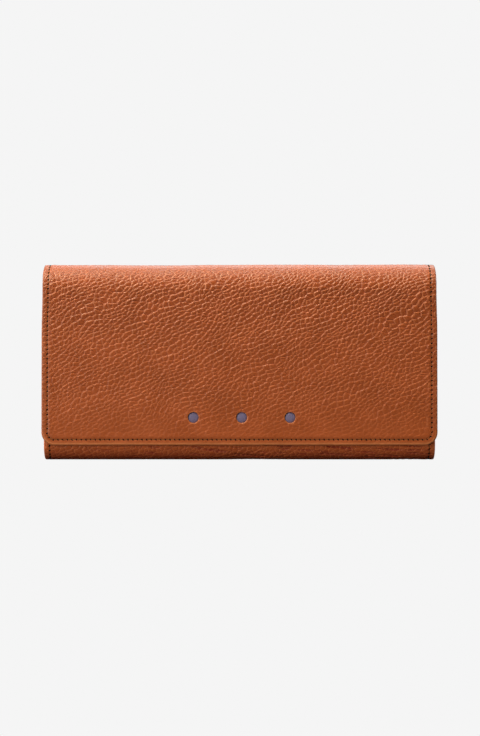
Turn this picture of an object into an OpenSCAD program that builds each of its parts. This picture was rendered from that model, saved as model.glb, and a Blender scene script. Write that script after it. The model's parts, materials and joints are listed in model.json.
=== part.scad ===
// Long flap wallet in pebbled leather: a folded hide with a front flap, bellows sides,
// card slots on both inner faces and a zipped coin pocket in the middle.
// +X runs along the wallet's width, -Y is the front, +Z is up. The origin is the middle of the base.

/* [Overall size] */
// Width across the flap
width = 195; // [185:1:205]
// Height from the base to the crown of the top roll
height = 96.5; // [95:0.5:102]
// Depth from the flap's face to the back
depth = 26; // [26:0.5:30]
// Width of the body under the flap
body_w = 192.5; // [182:0.5:202]
// Width of the top roll, where the hide turns over
roll_w = 194; // [183:0.5:203]

/* [Hide] */
// Thickness of the outer leather
leather_t = 1.2; // [1:0.1:1.4]
// Thickness of the lining
lining_t = 0.9; // [0.8:0.1:1]
// Thickness of the board between leather and lining
board_t = 0.3; // [0.2:0.05:0.4]
// Width of the turned edge that frames each lining
hem = 1.5; // [1:0.1:2.5]
// Outer radius of the two bottom bends
base_r = 8; // [6:0.5:9]

/* [Flap] */
// Height of the flap's lower edge above the base
flap_z = 7.2; // [5:0.1:12]
// Radius of the flap's lower corners
flap_corner_r = 6.5; // [4:0.5:10]
// Radius of the punched holes
dot_r = 2.65; // [2:0.05:3]
// Distance between the punched holes
dot_pitch = 23.8; // [18:0.1:30]
// Height of the punched holes above the base
dot_z = 20.9; // [17:0.1:24]
// Sideways offset of the row of holes
dot_offset = 1.1; // [0:0.1:2]

/* [Front panel] */
// Height of the front panel's top edge
front_top = 81; // [78:0.5:81]
// Radius of the front panel's top corners
front_corner_r = 3; // [1:0.5:5]
// Height of the magnets
magnet_z = 36; // [32:0.5:45]
// Radius of the magnets
magnet_r = 6; // [4:0.5:8]

/* [Card slots] */
// Width of a row of card slots
slot_w = 178; // [176:0.5:179]
// Height of the highest card slot's edge
slot_top = 77; // [74:0.5:78]
// Height of one card slot's leather
slot_h = 42; // [36:1:44]
// Step from one card slot's edge to the next
slot_step = 11; // [9:0.5:12]
// Thickness of one card slot's leather
slot_t = 0.6; // [0.4:0.05:0.6]

/* [Side gussets] */
// Width of a gusset leaf at its top
leaf_top = 18.5; // [15:0.5:18.5]
// Width of a gusset leaf at its foot
leaf_foot = 10; // [8:0.5:12]
// Angle of a leaf from its panel when the wallet is shut
leaf_angle = 26; // [22:1:26]
// Thickness of a gusset leaf
leaf_t = 0.8; // [0.5:0.1:0.9]

/* [Coin pocket] */
// Width of the coin pocket
pocket_w = 150; // [130:1:150]
// Height of the coin pocket's mouth
pocket_top = 75; // [66:0.5:75]
// Thickness of the coin pocket across its walls
pocket_t = 6.6; // [6:0.1:6.6]
// Thickness of one pocket wall
wall_t = 0.9; // [0.7:0.1:0.9]

/* [Zip] */
// Distance between teeth along one tape
tooth_pitch = 2.4; // [2:0.1:3]
// Length of the zip
zip_len = 138; // [120:1:138]
// Length of the pull tab
pull_len = 13; // [10:0.5:13]

/* [Hidden] */
$fn = 96;

hide_t = leather_t + lining_t;
roll_r = depth / 2;
roll_z = height - roll_r;
flap_gap = 0.3;
front_y = -roll_r + hide_t + flap_gap;
back_in_y = roll_r - hide_t;
front_in_y = front_y + hide_t;
// Gap left at each fold line, and the angle it takes on the roll.
fold_gap = 0.2;
fold_a = asin(fold_gap / 2 / roll_r);
// The roll turns over in four equal folds; these are their angles from the rear.
folds = [22.5, 67.5, 112.5, 157.5];

magnet_t = 1.1;
magnet_skin = 0.8;
magnet_gap = 0.05;
inlay_t = 0.8;
inlay_gap = 0.05;
// Distance from each stiffening board's edges to the panel's sides and to its ends.
board_side = 9;
board_end = 6;

leaf_axis_x = 94;
foot_t = 1;
// Air between layers of thin leather.
slot_gap = 0.05;
leaf_axis_off = 0.7;
leaf_z0 = base_r + 1;
leaf_z1 = front_top - 1;

pocket_y = (back_in_y - leaf_axis_off + front_in_y + leaf_axis_off) / 2;
pocket_z0 = 4.5;
// Free height under the pocket, so that it can tilt.
pocket_gap = 0.4;
pocket_in = pocket_t / 2 - wall_t;
strip_t = 0.8;
anchor_t = 0.8;
anchor_w = 140;

tape_t = 0.5;
tape_flange = 8;
tape_reach = 0.9;
tape_z = pocket_top - 1;
tooth_w = 1;
tooth_h = 1.8;
tooth_out = 1.5;
tooth_in = 0.5;
tooth_gap = 0.02;
stop_l = 1.6;
stop_w = 2.4;
stop_h = 1;
teeth_n = floor(zip_len / tooth_pitch);

slider_x = 58;
slider_l = 9;
slider_w = 6.2;
wing_t = 0.9;
slide_gap = 0.35;
wing_z = pocket_top + slide_gap;
lower_wing_w = 3.4;
lower_wing_z = tape_z + tape_t / 2 - tooth_h / 2 - slide_gap - wing_t;
pin_r = 0.5;
pin_gap = 0.06;
ear_bore_gap = 0.02;
eye_r = 1.1;
pin_z = wing_z + wing_t + eye_r + 0.15;
ear_t = 0.8;
ear_gap = 1.5;
pull_w = 6;
pull_t = 0.9;
// Length of the pull's narrow neck, its sideways play between the ears and the hole in its tab.
pull_neck = 4;
pull_play = 0.15;
pull_hole_r = 1.2;

tan_leather = [0.68, 0.36, 0.2];
lavender = [0.5, 0.46, 0.58];
brass = [0.78, 0.62, 0.34];
steel = [0.7, 0.7, 0.72];
board_grey = [0.75, 0.73, 0.68];
tape_brown = [0.36, 0.22, 0.14];

// A shape drawn in Y and Z, carried along X and centred on x0.
module along_x(w, x0 = 0) {
    translate([x0, 0, 0]) rotate([90, 0, 90]) linear_extrude(w, center = true) children();
}

// A shape drawn in X and Z, carried from y0 towards the back by t.
module along_y(y0, t) {
    translate([0, y0 + t, 0]) rotate([90, 0, 0]) linear_extrude(t) children();
}

// Part of the roll's section between two angles from the rear.
module roll_band(r_out, r_in, a0, a1) {
    reach = 2 * r_out;
    translate([0, roll_z]) intersection() {
        difference() {
            circle(r_out);
            circle(r_in);
        }
        polygon([
            [0, 0], [reach * cos(a0), reach * sin(a0)],
            [reach * cos((a0 + a1) / 2), reach * sin((a0 + a1) / 2)],
            [reach * cos(a1), reach * sin(a1)]
        ]);
    }
}

// The U-shaped section of the base, set in from the outside by off.
module base_shape(off) {
    r = base_r - off;
    y0 = front_y + base_r;
    y1 = roll_r - base_r;
    translate([y0, base_r]) circle(r);
    translate([y1, base_r]) circle(r);
    translate([y0, off]) square([y1 - y0, base_r - off]);
}

module base_band(off0, off1) {
    intersection() {
        difference() {
            base_shape(off0);
            base_shape(off1);
        }
        translate([-roll_r, -1]) square([2 * roll_r, base_r + 1 - fold_gap / 2]);
    }
}

// A plate outline in X and Z, w wide at its two round corners and w_far wide at its far edge.
module plate_outline(w, w_far, z_round, z_far, r) {
    up = sign(z_far - z_round);
    zc = z_round + up * r;
    low = up > 0 ? [w / 2, zc] : [w_far / 2, z_far];
    high = up > 0 ? [w_far / 2, z_far] : [w / 2, zc];
    polygon([[-low.x, low.y], low, high, [-high.x, high.y]]);
    translate([-w / 2 + r, min(z_round, zc)]) square([w - 2 * r, r]);
    for (s = [-1, 1]) translate([s * (w / 2 - r), zc]) circle(r);
}

module magnet_disc(y0) {
    translate([0, y0, magnet_z]) rotate([-90, 0, 0]) cylinder(h = magnet_t, r = magnet_r);
}

module magnet_pocket(y0) {
    translate([0, y0 - magnet_gap, magnet_z]) rotate([-90, 0, 0])
        cylinder(h = magnet_t + 2 * magnet_gap, r = magnet_r + magnet_gap);
}

// ---- Back and base ----

module back_full(r_out, r_in, w) {
    along_x(w) {
        translate([r_in, base_r + fold_gap / 2]) square([r_out - r_in, roll_z - base_r - fold_gap / 2]);
        roll_band(r_out, r_in, 0, folds[0] - fold_a);
    }
}

// A flat board between two heights, set in from the sides of a panel w wide.
module board_shape(y0, w, z0, z1) {
    along_y(y0, board_t) translate([-w / 2 + board_side, z0]) square([w - 2 * board_side, z1 - z0]);
}

module back_board_shape() {
    board_shape(roll_r - leather_t - board_t, body_w, base_r + board_end, roll_z - board_end);
}

module back_leather() {
    color(tan_leather) difference() {
        back_full(roll_r, roll_r - hide_t, body_w);
        back_full(roll_r - leather_t, roll_r - hide_t - 1, body_w - 2 * hem);
    }
}

module back_lining() {
    color(lavender) difference() {
        back_full(roll_r - leather_t, roll_r - hide_t, body_w - 2 * hem);
        back_board_shape();
    }
}

module back_board() {
    color(board_grey) back_board_shape();
}

module bottom_leather() {
    color(tan_leather) difference() {
        along_x(body_w) base_band(0, hide_t);
        along_x(body_w - 2 * hem) base_band(leather_t, hide_t);
    }
}

module bottom_lining() {
    color(lavender) along_x(body_w - 2 * hem) base_band(leather_t, hide_t);
}

// Leather tongue that ties the coin pocket to the base.
module pocket_anchor() {
    color(tan_leather) translate([-anchor_w / 2, pocket_y - anchor_t / 2, hide_t])
        cube([anchor_w, anchor_t, pocket_z0 - hide_t - pocket_gap]);
}

// The sewn-down lower ends of the two gussets.
module gusset_feet() {
    color(tan_leather) for (s = [-1, 1])
        along_x(foot_t, s * (leaf_axis_x - 1.5 * foot_t)) intersection() {
            base_shape(hide_t + slot_gap);
            translate([-roll_r, 0]) square([2 * roll_r, base_r]);
        }
}

// ---- Top roll ----

module roll_leather(i) {
    a0 = folds[i] + fold_a;
    a1 = folds[i + 1] - fold_a;
    color(tan_leather) difference() {
        along_x(roll_w) roll_band(roll_r, roll_r - hide_t, a0, a1);
        along_x(roll_w - 2 * hem) roll_band(roll_r - leather_t, roll_r - hide_t - 1, a0 - 1, a1 + 1);
    }
}

module roll_lining(i) {
    color(lavender) along_x(roll_w - 2 * hem)
        roll_band(roll_r - leather_t, roll_r - hide_t, folds[i] + fold_a, folds[i + 1] - fold_a);
}

// ---- Flap ----

module flap_full(y0, t, inset) {
    along_y(y0, t)
        plate_outline(width - 2 * inset, roll_w - 2 * inset, flap_z + inset, roll_z, flap_corner_r - inset);
}

module flap_bend(r_out, r_in, w) {
    along_x(w) roll_band(r_out, r_in, folds[3] + fold_a, 180);
}

module dot_places() {
    for (i = [-1, 0, 1]) translate([dot_offset + i * dot_pitch, 0, dot_z]) children();
}

module flap_board_shape() {
    board_shape(-roll_r + leather_t, width, flap_z + board_side, roll_z - board_end);
}

module flap_lining_shape() {
    flap_full(-roll_r + leather_t, lining_t, hem);
    flap_bend(roll_r - leather_t, roll_r - hide_t, roll_w - 2 * hem);
}

module flap_leather() {
    color(tan_leather) difference() {
        union() {
            flap_full(-roll_r, hide_t, 0);
            flap_bend(roll_r, roll_r - hide_t, roll_w);
        }
        flap_lining_shape();
        magnet_pocket(-roll_r + magnet_skin);
        dot_places() rotate([90, 0, 0]) cylinder(h = 4 * roll_r, r = dot_r, center = true);
    }
}

module flap_lining() {
    color(lavender) difference() {
        flap_lining_shape();
        flap_board_shape();
        magnet_pocket(-roll_r + magnet_skin);
    }
}

module flap_board() {
    color(board_grey) difference() {
        flap_board_shape();
        magnet_pocket(-roll_r + magnet_skin);
    }
}

// Discs of lining leather that show through the punched holes, set in from the surface.
module dot_inlays() {
    color(lavender) dot_places()
        translate([0, -roll_r + leather_t, 0]) rotate([90, 0, 0]) cylinder(h = inlay_t, r = dot_r - inlay_gap);
}

module flap_magnet() {
    color(steel) magnet_disc(-roll_r + magnet_skin);
}

// ---- Front panel ----

module front_full(y0, t, inset) {
    w = body_w - 2 * inset;
    along_y(y0, t) plate_outline(w, w, front_top - inset, base_r + fold_gap / 2, front_corner_r);
}

module front_board_shape() {
    board_shape(front_y + leather_t, body_w, base_r + board_end, front_top - board_end);
}

module front_leather() {
    color(tan_leather) difference() {
        front_full(front_y, hide_t, 0);
        front_full(front_y + leather_t, lining_t + 1, hem);
        magnet_pocket(front_y + magnet_skin);
    }
}

module front_lining() {
    color(lavender) difference() {
        front_full(front_y + leather_t, lining_t, hem);
        front_board_shape();
        magnet_pocket(front_y + magnet_skin);
    }
}

module front_board() {
    color(board_grey) difference() {
        front_board_shape();
        magnet_pocket(front_y + magnet_skin);
    }
}

module front_magnet() {
    color(steel) magnet_disc(front_y + magnet_skin);
}

// ---- Card slots: each one lies on the last, one step lower ----

module card_slot(i, wall_y, towards) {
    top = slot_top - i * slot_step;
    y0 = wall_y + towards * (i * (slot_t + slot_gap) + slot_gap);
    color(lavender) along_y(towards > 0 ? y0 : y0 - slot_t, slot_t)
        translate([-slot_w / 2, top - slot_h]) square([slot_w, slot_h]);
}

// ---- Side gussets ----

// One leaf, drawn from its own fold line at the origin and reaching along +X.
module leaf_shape() {
    r = leaf_t / 2;
    cylinder(h = leaf_z1 - leaf_z0, r = r);
    rotate([90, 0, 0]) linear_extrude(leaf_t, center = true)
        polygon([[0, 0], [leaf_foot, 0], [leaf_top, leaf_z1 - leaf_z0], [0, leaf_z1 - leaf_z0]]);
}

module gusset_leaf(side, rear) {
    y0 = rear ? back_in_y - leaf_axis_off : front_in_y + leaf_axis_off;
    swing = rear ? -leaf_angle : leaf_angle;
    color(tan_leather) translate([side * leaf_axis_x, y0, leaf_z0])
        rotate([0, 0, side < 0 ? swing : 180 - swing]) leaf_shape();
}

// ---- Coin pocket ----

module pocket_wall(s) {
    y_in = pocket_y + s * pocket_in;
    along_y(s > 0 ? y_in : y_in - wall_t, wall_t)
        translate([-pocket_w / 2, pocket_z0]) square([pocket_w, pocket_top - pocket_z0]);
}

module pocket_front_wall() {
    color(lavender) pocket_wall(-1);
}

module pocket_rear_wall() {
    color(lavender) pocket_wall(1);
}

// Strip that closes the pocket's two ends and its foot.
module pocket_edge_strip() {
    w = pocket_w - 2 * strip_t;
    color(lavender) along_y(pocket_y - pocket_in, 2 * pocket_in) difference() {
        translate([-pocket_w / 2, pocket_z0]) square([pocket_w, pocket_top - pocket_z0]);
        translate([-w / 2, pocket_z0 + strip_t]) square([w, pocket_top]);
    }
}

// ---- Zip ----

// One tape: a flange sewn to the pocket's wall and a top that holds the teeth.
module zip_tape(s) {
    y_in = pocket_y + s * pocket_in;
    w = pocket_w - 2 * strip_t;
    color(tape_brown) difference() {
        along_x(w) {
            translate([s > 0 ? y_in - tape_t : y_in, tape_z - tape_flange]) square([tape_t, tape_flange]);
            translate([s > 0 ? pocket_y + tape_reach : y_in, tape_z]) square([pocket_in - tape_reach, tape_t]);
        }
        teeth(s, tooth_gap);
    }
}

// One row of teeth, every one grown by the same amount on all sides where the tape makes room for it.
module teeth(s, grow = 0) {
    x0 = -zip_len / 2 + (s > 0 ? 0 : tooth_pitch / 2);
    y0 = s > 0 ? pocket_y - tooth_in : pocket_y - tooth_out;
    for (i = [0 : teeth_n - 2])
        translate([x0 + i * tooth_pitch - grow, y0 - grow, tape_z + tape_t / 2 - tooth_h / 2 - grow])
            cube([tooth_w + 2 * grow, tooth_out + tooth_in + 2 * grow, tooth_h + 2 * grow]);
}

module zip_stops() {
    color(brass) for (s = [-1, 1])
        translate([s * (zip_len / 2 + 1) - stop_l / 2, pocket_y - stop_w / 2, tape_z + tape_t + tooth_gap])
            cube([stop_l, stop_w, stop_h]);
}

// Upper wing with its two ears, and the lower wing under the teeth.
module zip_slider() {
    color(brass) {
        difference() {
            union() {
                translate([slider_x - slider_l / 2, pocket_y - slider_w / 2, wing_z])
                    cube([slider_l, slider_w, wing_t]);
                for (s = [-1, 1]) translate([slider_x, pocket_y + s * (ear_gap + ear_t / 2), 0]) {
                    translate([-eye_r, -ear_t / 2, wing_z]) cube([2 * eye_r, ear_t, pin_z - wing_z]);
                    translate([0, 0, pin_z]) rotate([90, 0, 0]) cylinder(h = ear_t, r = eye_r, center = true);
                }
            }
            translate([slider_x, pocket_y, pin_z]) rotate([90, 0, 0])
                cylinder(h = 4 * ear_gap, r = pin_r + ear_bore_gap, center = true);
        }
        translate([slider_x - slider_l / 2, pocket_y - lower_wing_w / 2, lower_wing_z])
            cube([slider_l, lower_wing_w, wing_t]);
    }
}

module zip_pull_pin() {
    color(brass) translate([slider_x, pocket_y, pin_z]) rotate([90, 0, 0])
        cylinder(h = 2 * (ear_gap + ear_t), r = pin_r, center = true);
}

// The eye on its pin, the neck and the round-ended tab, lying along +X.
module zip_pull() {
    eye_w = 2 * (ear_gap - pull_play);
    tab_end = pull_len - pull_w / 2;
    color(brass) translate([slider_x, pocket_y, pin_z]) difference() {
        union() {
            rotate([90, 0, 0]) cylinder(h = eye_w, r = eye_r, center = true);
            translate([0, -eye_w / 2, -pull_t / 2]) cube([pull_neck + 1, eye_w, pull_t]);
            translate([pull_neck, -pull_w / 2, -pull_t / 2]) cube([tab_end - pull_neck, pull_w, pull_t]);
            translate([tab_end, 0, -pull_t / 2]) cylinder(h = pull_t, r = pull_w / 2);
        }
        rotate([90, 0, 0]) cylinder(h = 2 * eye_w, r = pin_r + pin_gap, center = true);
        translate([tab_end, 0, -pull_t]) cylinder(h = 2 * pull_t, r = pull_hole_r);
    }
}

back_leather();
back_lining();
back_board();
bottom_leather();
bottom_lining();
card_slot(0, back_in_y, -1);  // rear_card_slot_1
card_slot(1, back_in_y, -1);  // rear_card_slot_2
card_slot(2, back_in_y, -1);  // rear_card_slot_3
pocket_anchor();
gusset_feet();
roll_leather(0);  // roll_rear_leather
roll_lining(0);  // roll_rear_lining
roll_leather(1);  // roll_crown_leather
roll_lining(1);  // roll_crown_lining
roll_leather(2);  // roll_front_leather
roll_lining(2);  // roll_front_lining
flap_leather();
flap_lining();
flap_board();
dot_inlays();
flap_magnet();
front_leather();
front_lining();
front_board();
front_magnet();
card_slot(0, front_in_y, 1);  // front_card_slot_1
card_slot(1, front_in_y, 1);  // front_card_slot_2
card_slot(2, front_in_y, 1);  // front_card_slot_3
gusset_leaf(-1, true);  // gusset_rear_left
gusset_leaf(1, true);  // gusset_rear_right
gusset_leaf(-1, false);  // gusset_front_left
gusset_leaf(1, false);  // gusset_front_right
pocket_front_wall();
pocket_rear_wall();
pocket_edge_strip();
zip_tape(-1);  // zip_tape_front
zip_tape(1);  // zip_tape_rear
color(brass) teeth(-1);  // zip_teeth_front
color(brass) teeth(1);  // zip_teeth_rear
zip_stops();
zip_slider();
zip_pull_pin();
zip_pull();
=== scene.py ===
"""Long flap wallet in pebbled leather, with linings, stitching, card slots, gussets, coin pocket and zip."""

import json
import math

import bmesh
import bpy
import numpy as np
from bpy.props import FloatProperty, FloatVectorProperty, PointerProperty
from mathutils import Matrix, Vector


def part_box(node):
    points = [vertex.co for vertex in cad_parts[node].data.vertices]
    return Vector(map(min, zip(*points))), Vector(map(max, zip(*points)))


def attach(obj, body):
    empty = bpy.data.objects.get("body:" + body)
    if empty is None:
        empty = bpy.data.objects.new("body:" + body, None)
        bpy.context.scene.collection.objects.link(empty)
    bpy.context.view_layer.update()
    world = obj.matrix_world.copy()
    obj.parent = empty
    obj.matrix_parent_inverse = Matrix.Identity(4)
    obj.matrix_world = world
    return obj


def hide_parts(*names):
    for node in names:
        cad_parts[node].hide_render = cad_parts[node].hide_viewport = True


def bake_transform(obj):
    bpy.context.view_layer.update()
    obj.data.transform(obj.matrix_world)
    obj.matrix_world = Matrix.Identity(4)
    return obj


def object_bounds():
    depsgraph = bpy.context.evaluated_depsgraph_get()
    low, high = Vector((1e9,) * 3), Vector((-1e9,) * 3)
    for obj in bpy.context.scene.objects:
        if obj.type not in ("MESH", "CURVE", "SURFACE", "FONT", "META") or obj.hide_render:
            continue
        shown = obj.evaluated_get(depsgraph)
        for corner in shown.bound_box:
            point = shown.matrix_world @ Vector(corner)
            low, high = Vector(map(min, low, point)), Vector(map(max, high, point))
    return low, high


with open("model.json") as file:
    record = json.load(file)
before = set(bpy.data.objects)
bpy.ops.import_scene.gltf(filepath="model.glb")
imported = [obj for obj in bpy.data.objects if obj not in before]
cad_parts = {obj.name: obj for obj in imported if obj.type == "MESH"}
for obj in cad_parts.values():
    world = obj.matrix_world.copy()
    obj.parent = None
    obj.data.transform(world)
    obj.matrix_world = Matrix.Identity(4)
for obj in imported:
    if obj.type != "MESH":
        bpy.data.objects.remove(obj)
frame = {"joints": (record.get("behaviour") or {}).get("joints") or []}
CAD_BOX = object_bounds()

bl_info = {
    "name": "Long Flap Wallet",
    "version": (1, 0, 0),
    "blender": (4, 5, 0),
    "location": "View3D > Sidebar > Wallet",
    "description": "Builds the leather, stitching, pockets and zip of a long wallet around its fixed frame",
    "category": "Add Mesh",
}

MM = 0.001
JOINTS = {joint["name"]: joint for joint in frame["joints"]}


def low(node):
    """Lowest corner of a frame node, as an array."""
    return np.array(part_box(node)[0])


def high(node):
    """Highest corner of a frame node, as an array."""
    return np.array(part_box(node)[1])


# ---- Sizes read from the frame ----

HEIGHT = CAD_BOX[1].z
ROLL_R = CAD_BOX[1].y
ROLL_Z = HEIGHT - ROLL_R
BACK_Y = ROLL_R
FRONT_Y = low("front_leather")[1]
PANEL_TOP = high("front_leather")[2]
BASE_R = JOINTS["front_panel_tilt"]["pos_m"][2]
FLAP_Z = low("flap_leather")[2]
FLAP_HALF = high("flap_leather")[0]
ROLL_HALF = high("roll_crown_leather")[0]
BODY_HALF = high("back_leather")[0]
PANEL_T = high("front_leather")[1] - FRONT_Y
LINING_T = high("front_lining")[1] - low("front_lining")[1]
HIDE_T = PANEL_T - LINING_T
HEM = BODY_HALF - high("back_lining")[0]
DOT_Z = (low("dot_inlays")[2] + high("dot_inlays")[2]) / 2
DOT_PLAY = 0.05 * MM
DOT_R = (high("dot_inlays")[2] - low("dot_inlays")[2]) / 2 + DOT_PLAY
DOT_MIDDLE = (low("dot_inlays")[0] + high("dot_inlays")[0]) / 2
DOT_PITCH = (high("dot_inlays")[0] - low("dot_inlays")[0]) / 2 - DOT_R + DOT_PLAY
GUSSET_X, GUSSET_REAR_Y = JOINTS["gusset_rear_right_fold"]["pos_m"][:2]
GUSSET_FRONT_Y = JOINTS["gusset_front_right_fold"]["pos_m"][1]
GUSSET_TOP = GUSSET_X - low("gusset_rear_right")[0]
GUSSET_FOOT = 0.54 * GUSSET_TOP

FLAP_CORNER = 6.5 * MM
PANEL_CORNER = 3 * MM


# ---- Numpy helpers ----


def smooth(low_end, high_end, value):
    """Goes from 0 at low_end to 1 at high_end with flat ends: 3t^2 - 2t^3 of the clamped share t."""
    t = np.clip((value - low_end) / (high_end - low_end), 0, 1)
    return t * t * (3 - 2 * t)


def bell(value, middle, width):
    """Gaussian bump of height 1 round a middle value."""
    return np.exp(-(((value - middle) / width) ** 2))


def joined(*parts):
    """The parts, spread to one shape, as the last axis of an array: coordinates become points."""
    return np.stack(np.broadcast_arrays(*parts), -1)


def soft_noise(x, y, seed, waves=11):
    """Smooth field of about -1 to 1: a sum of plane waves with seeded directions, lengths and phases."""
    rng = np.random.default_rng(seed)
    total = np.zeros(np.broadcast(x, y).shape)
    for _ in range(waves):
        angle, phase = rng.uniform(0, 2 * math.pi, 2)
        rate = rng.uniform(0.5, 1.6) * 2 * math.pi
        total += np.sin(rate * (x * math.cos(angle) + y * math.sin(angle)) + phase)
    return total / math.sqrt(waves)


# How far a crease reaches in from a pebble's border, as a share of the pebble, and the number of cells
# each way after which the grain repeats.
CREASE_REACH = 0.095
CELLS = 64


def pebbles(x, s, length, width, turn, seed):
    """Pebbled grain as height, crease, lip and tone of 0 to 1, for places x and s.

    The plane is warped by slow noise, turned, and divided by a pebble's length and width. Every cell of
    the square grid that this gives holds one seeded point, and a pebble is the area nearest to its point.
    With d the least distance to the bisector between the nearest point and another, the height is
    1 - exp(-d / CREASE_REACH), times a lean that makes the upper left edge a lip and lets the others sink.
    Crease and lip are exp(-d / CREASE_REACH) times how far that bisector looks down or up.
    """
    x = x + 1.3 * MM * soft_noise(x / (34 * MM), s / (34 * MM), seed)
    s = s + 1.0 * MM * soft_noise(x / (28 * MM), s / (28 * MM), seed + 1)
    u = (x * np.cos(turn) - s * np.sin(turn)) / length
    v = (x * np.sin(turn) + s * np.cos(turn)) / width
    points = np.random.default_rng(seed).uniform((0.06, 0.12), (0.94, 0.88), (CELLS, CELLS, 2))
    tones = np.random.default_rng(seed + 3).random((CELLS, CELLS))

    def towards(column, row):
        """Steps in u and v from every place to the point of a cell."""
        point = points[row % CELLS, column % CELLS]
        return column + point[..., 0] - u, row + point[..., 1] - v

    column, row = np.floor(u).astype(int), np.floor(v).astype(int)
    best = np.full(u.shape, np.inf)
    near_u, near_v = np.zeros(u.shape), np.zeros(u.shape)
    near_column, near_row = column.copy(), row.copy()
    for down in (-1, 0, 1):
        for across in (-1, 0, 1):
            du, dv = towards(column + across, row + down)
            closer = du * du + dv * dv < best
            best = np.where(closer, du * du + dv * dv, best)
            near_u, near_v = np.where(closer, du, near_u), np.where(closer, dv, near_v)
            near_column = np.where(closer, column + across, near_column)
            near_row = np.where(closer, row + down, near_row)
    border, facing = np.full(u.shape, np.inf), np.zeros(u.shape)
    for down in (-2, -1, 0, 1, 2):
        for across in (-2, -1, 0, 1, 2):
            if down or across:
                du, dv = towards(near_column + across, near_row + down)
                gap_u, gap_v = du - near_u, dv - near_v
                gap = np.hypot(gap_u, gap_v) + 1e-9
                halfway = ((du + near_u) * gap_u + (dv + near_v) * gap_v) / (2 * gap)
                facing = np.where(halfway < border, (gap_v + 0.75 * gap_u) / gap, facing)
                border = np.minimum(border, halfway)
    near = np.exp(-np.maximum(border, 0) / CREASE_REACH)
    height = (1 - near) * (0.7 + 1.0 * near_v + 0.4 * near_u)
    crease, lip = near * np.clip(0.4 + facing, 0, 1), near * np.clip(-facing, 0, 1)
    return height, crease, lip, tones[near_row % CELLS, near_column % CELLS]


class SectionPath:
    """A line of straight stretches and arcs in Y and Z: a start, a heading in degrees and its stretches.

    Every stretch has a length and a turn in degrees. At a distance t along it the heading has turned by
    turn * t / length, and the place is the integral of the heading: t times its direction on a straight
    stretch, and a chord of the circle of radius length / turn on an arc. The outward normal is the heading
    turned by a right angle, clockwise.
    """

    def __init__(self, start, heading, stretches):
        y, z = start
        angle, s = math.radians(heading), 0.0
        self.stretches = []
        for length, turn in stretches:
            turn = math.radians(turn)
            self.stretches.append((s, y, z, angle, length, turn))
            y, z, angle = self._along(y, z, angle, length, turn, length)
            s += length
        self.length = s

    @staticmethod
    def _along(y, z, angle, length, turn, t):
        """Y, Z and heading at a distance t along one stretch."""
        if turn == 0:
            return y + t * math.cos(angle), z + t * math.sin(angle), angle + 0 * t
        radius = length / turn
        now = angle + t / radius
        y_now = y + radius * (np.sin(now) - math.sin(angle))
        return y_now, z - radius * (np.cos(now) - math.cos(angle)), now

    def at(self, s):
        """Y, Z and the outward normal's Y and Z at distances s along the path."""
        s = np.asarray(s, float)
        y, z, angle = np.zeros(s.shape), np.zeros(s.shape), np.zeros(s.shape)
        for start, y0, z0, angle0, length, turn in self.stretches:
            here = s >= start - 1e-9
            t = (s - start)[here]
            y[here], z[here], angle[here] = self._along(y0, z0, angle0, length, turn, t)
        return y, z, np.sin(angle), -np.cos(angle)

    def place(self, x, s, offset):
        """Points at sideways distance x, distance s along the path and offset out along its normal."""
        y, z, ny, nz = self.at(s)
        return joined(x, y + ny * offset, z + nz * offset)

    def start_of(self, number):
        """Distance at which a stretch starts."""
        return self.stretches[number][0]


class Outline:
    """Plan of a sheet along a path: half its width at each distance, and which ends are finished.

    Near a finished end with a corner of radius r the half width loses r - sqrt(r^2 - (r - t)^2), with t the
    distance from that end. An end that isn't finished joins the next piece.
    """

    def __init__(self, half, start, end, start_corner=None, end_corner=None):
        self.half = half
        self.start, self.end = start, end
        self.start_corner, self.end_corner = start_corner, end_corner

    def ends(self, s):
        """Distance from each finished end, with its corner radius."""
        if self.start_corner is not None:
            yield s - self.start, self.start_corner
        if self.end_corner is not None:
            yield self.end - s, self.end_corner

    def half_at(self, s):
        """Half the width, with the corners cut."""
        width = self.half(s)
        for near, corner in self.ends(s):
            cut = np.clip(corner - near, 0, corner)
            width = width - corner + np.sqrt(corner**2 - cut**2)
        return width

    def inset(self, x, s):
        """Distance in from the outline, measured across a corner's arc where it is nearest."""
        side = self.half(s) - np.abs(x)
        inset = side
        for near, corner in self.ends(s):
            in_corner = (near < corner) & (side < corner)
            round_inset = corner - np.hypot(corner - near, corner - side)
            inset = np.minimum(inset, np.where(in_corner, round_inset, np.minimum(near, side)))
        return np.maximum(inset, 0)

    def stations(self, step, band, count):
        """Distances of the rows: even in the middle, and closer together in a band at each finished end."""
        near = edge_steps(band, count)
        first = self.start + near if self.start_corner is not None else np.array([self.start])
        last = self.end - near[::-1] if self.end_corner is not None else np.array([self.end])
        rows = max(2, round((last[0] - first[-1]) / step) + 1)
        return np.concatenate([first, np.linspace(first[-1], last[0], rows)[1:-1], last])


def edge_steps(band, count):
    """Distances from an edge, out to band, that grow with the power 1.5 of their number."""
    return band * (np.arange(count + 1) / count) ** 1.5


def columns(half, band, count, step):
    """X of every column of a sheet, for an array of half widths: close together in a band at each side."""
    near = edge_steps(band, count)
    middle = max(3, round(2 * (half.max() - band) / step) + 1)
    share, half = np.linspace(-1, 1, middle)[1:-1], half[:, None]
    return np.concatenate([-half + near, (half - band) * share, half - near[::-1]], 1)


def rounded(inset, thickness):
    """Half the thickness of a sheet with a round edge: a quarter of an ellipse, then flat."""
    share = np.clip((inset + 0.01 * MM) / min(thickness / 2, 0.7 * MM), 0, 1)
    return thickness / 2 * np.sqrt(1 - (1 - share) ** 2)


def loop_faces(rows, around):
    """Quads of a grid whose rows are closed loops."""
    i, j = np.meshgrid(np.arange(rows - 1), np.arange(around), indexing="ij")
    here, after = i * around + j, i * around + (j + 1) % around
    return joined(here, here + around, after + around, after).reshape(-1, 4)


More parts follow.
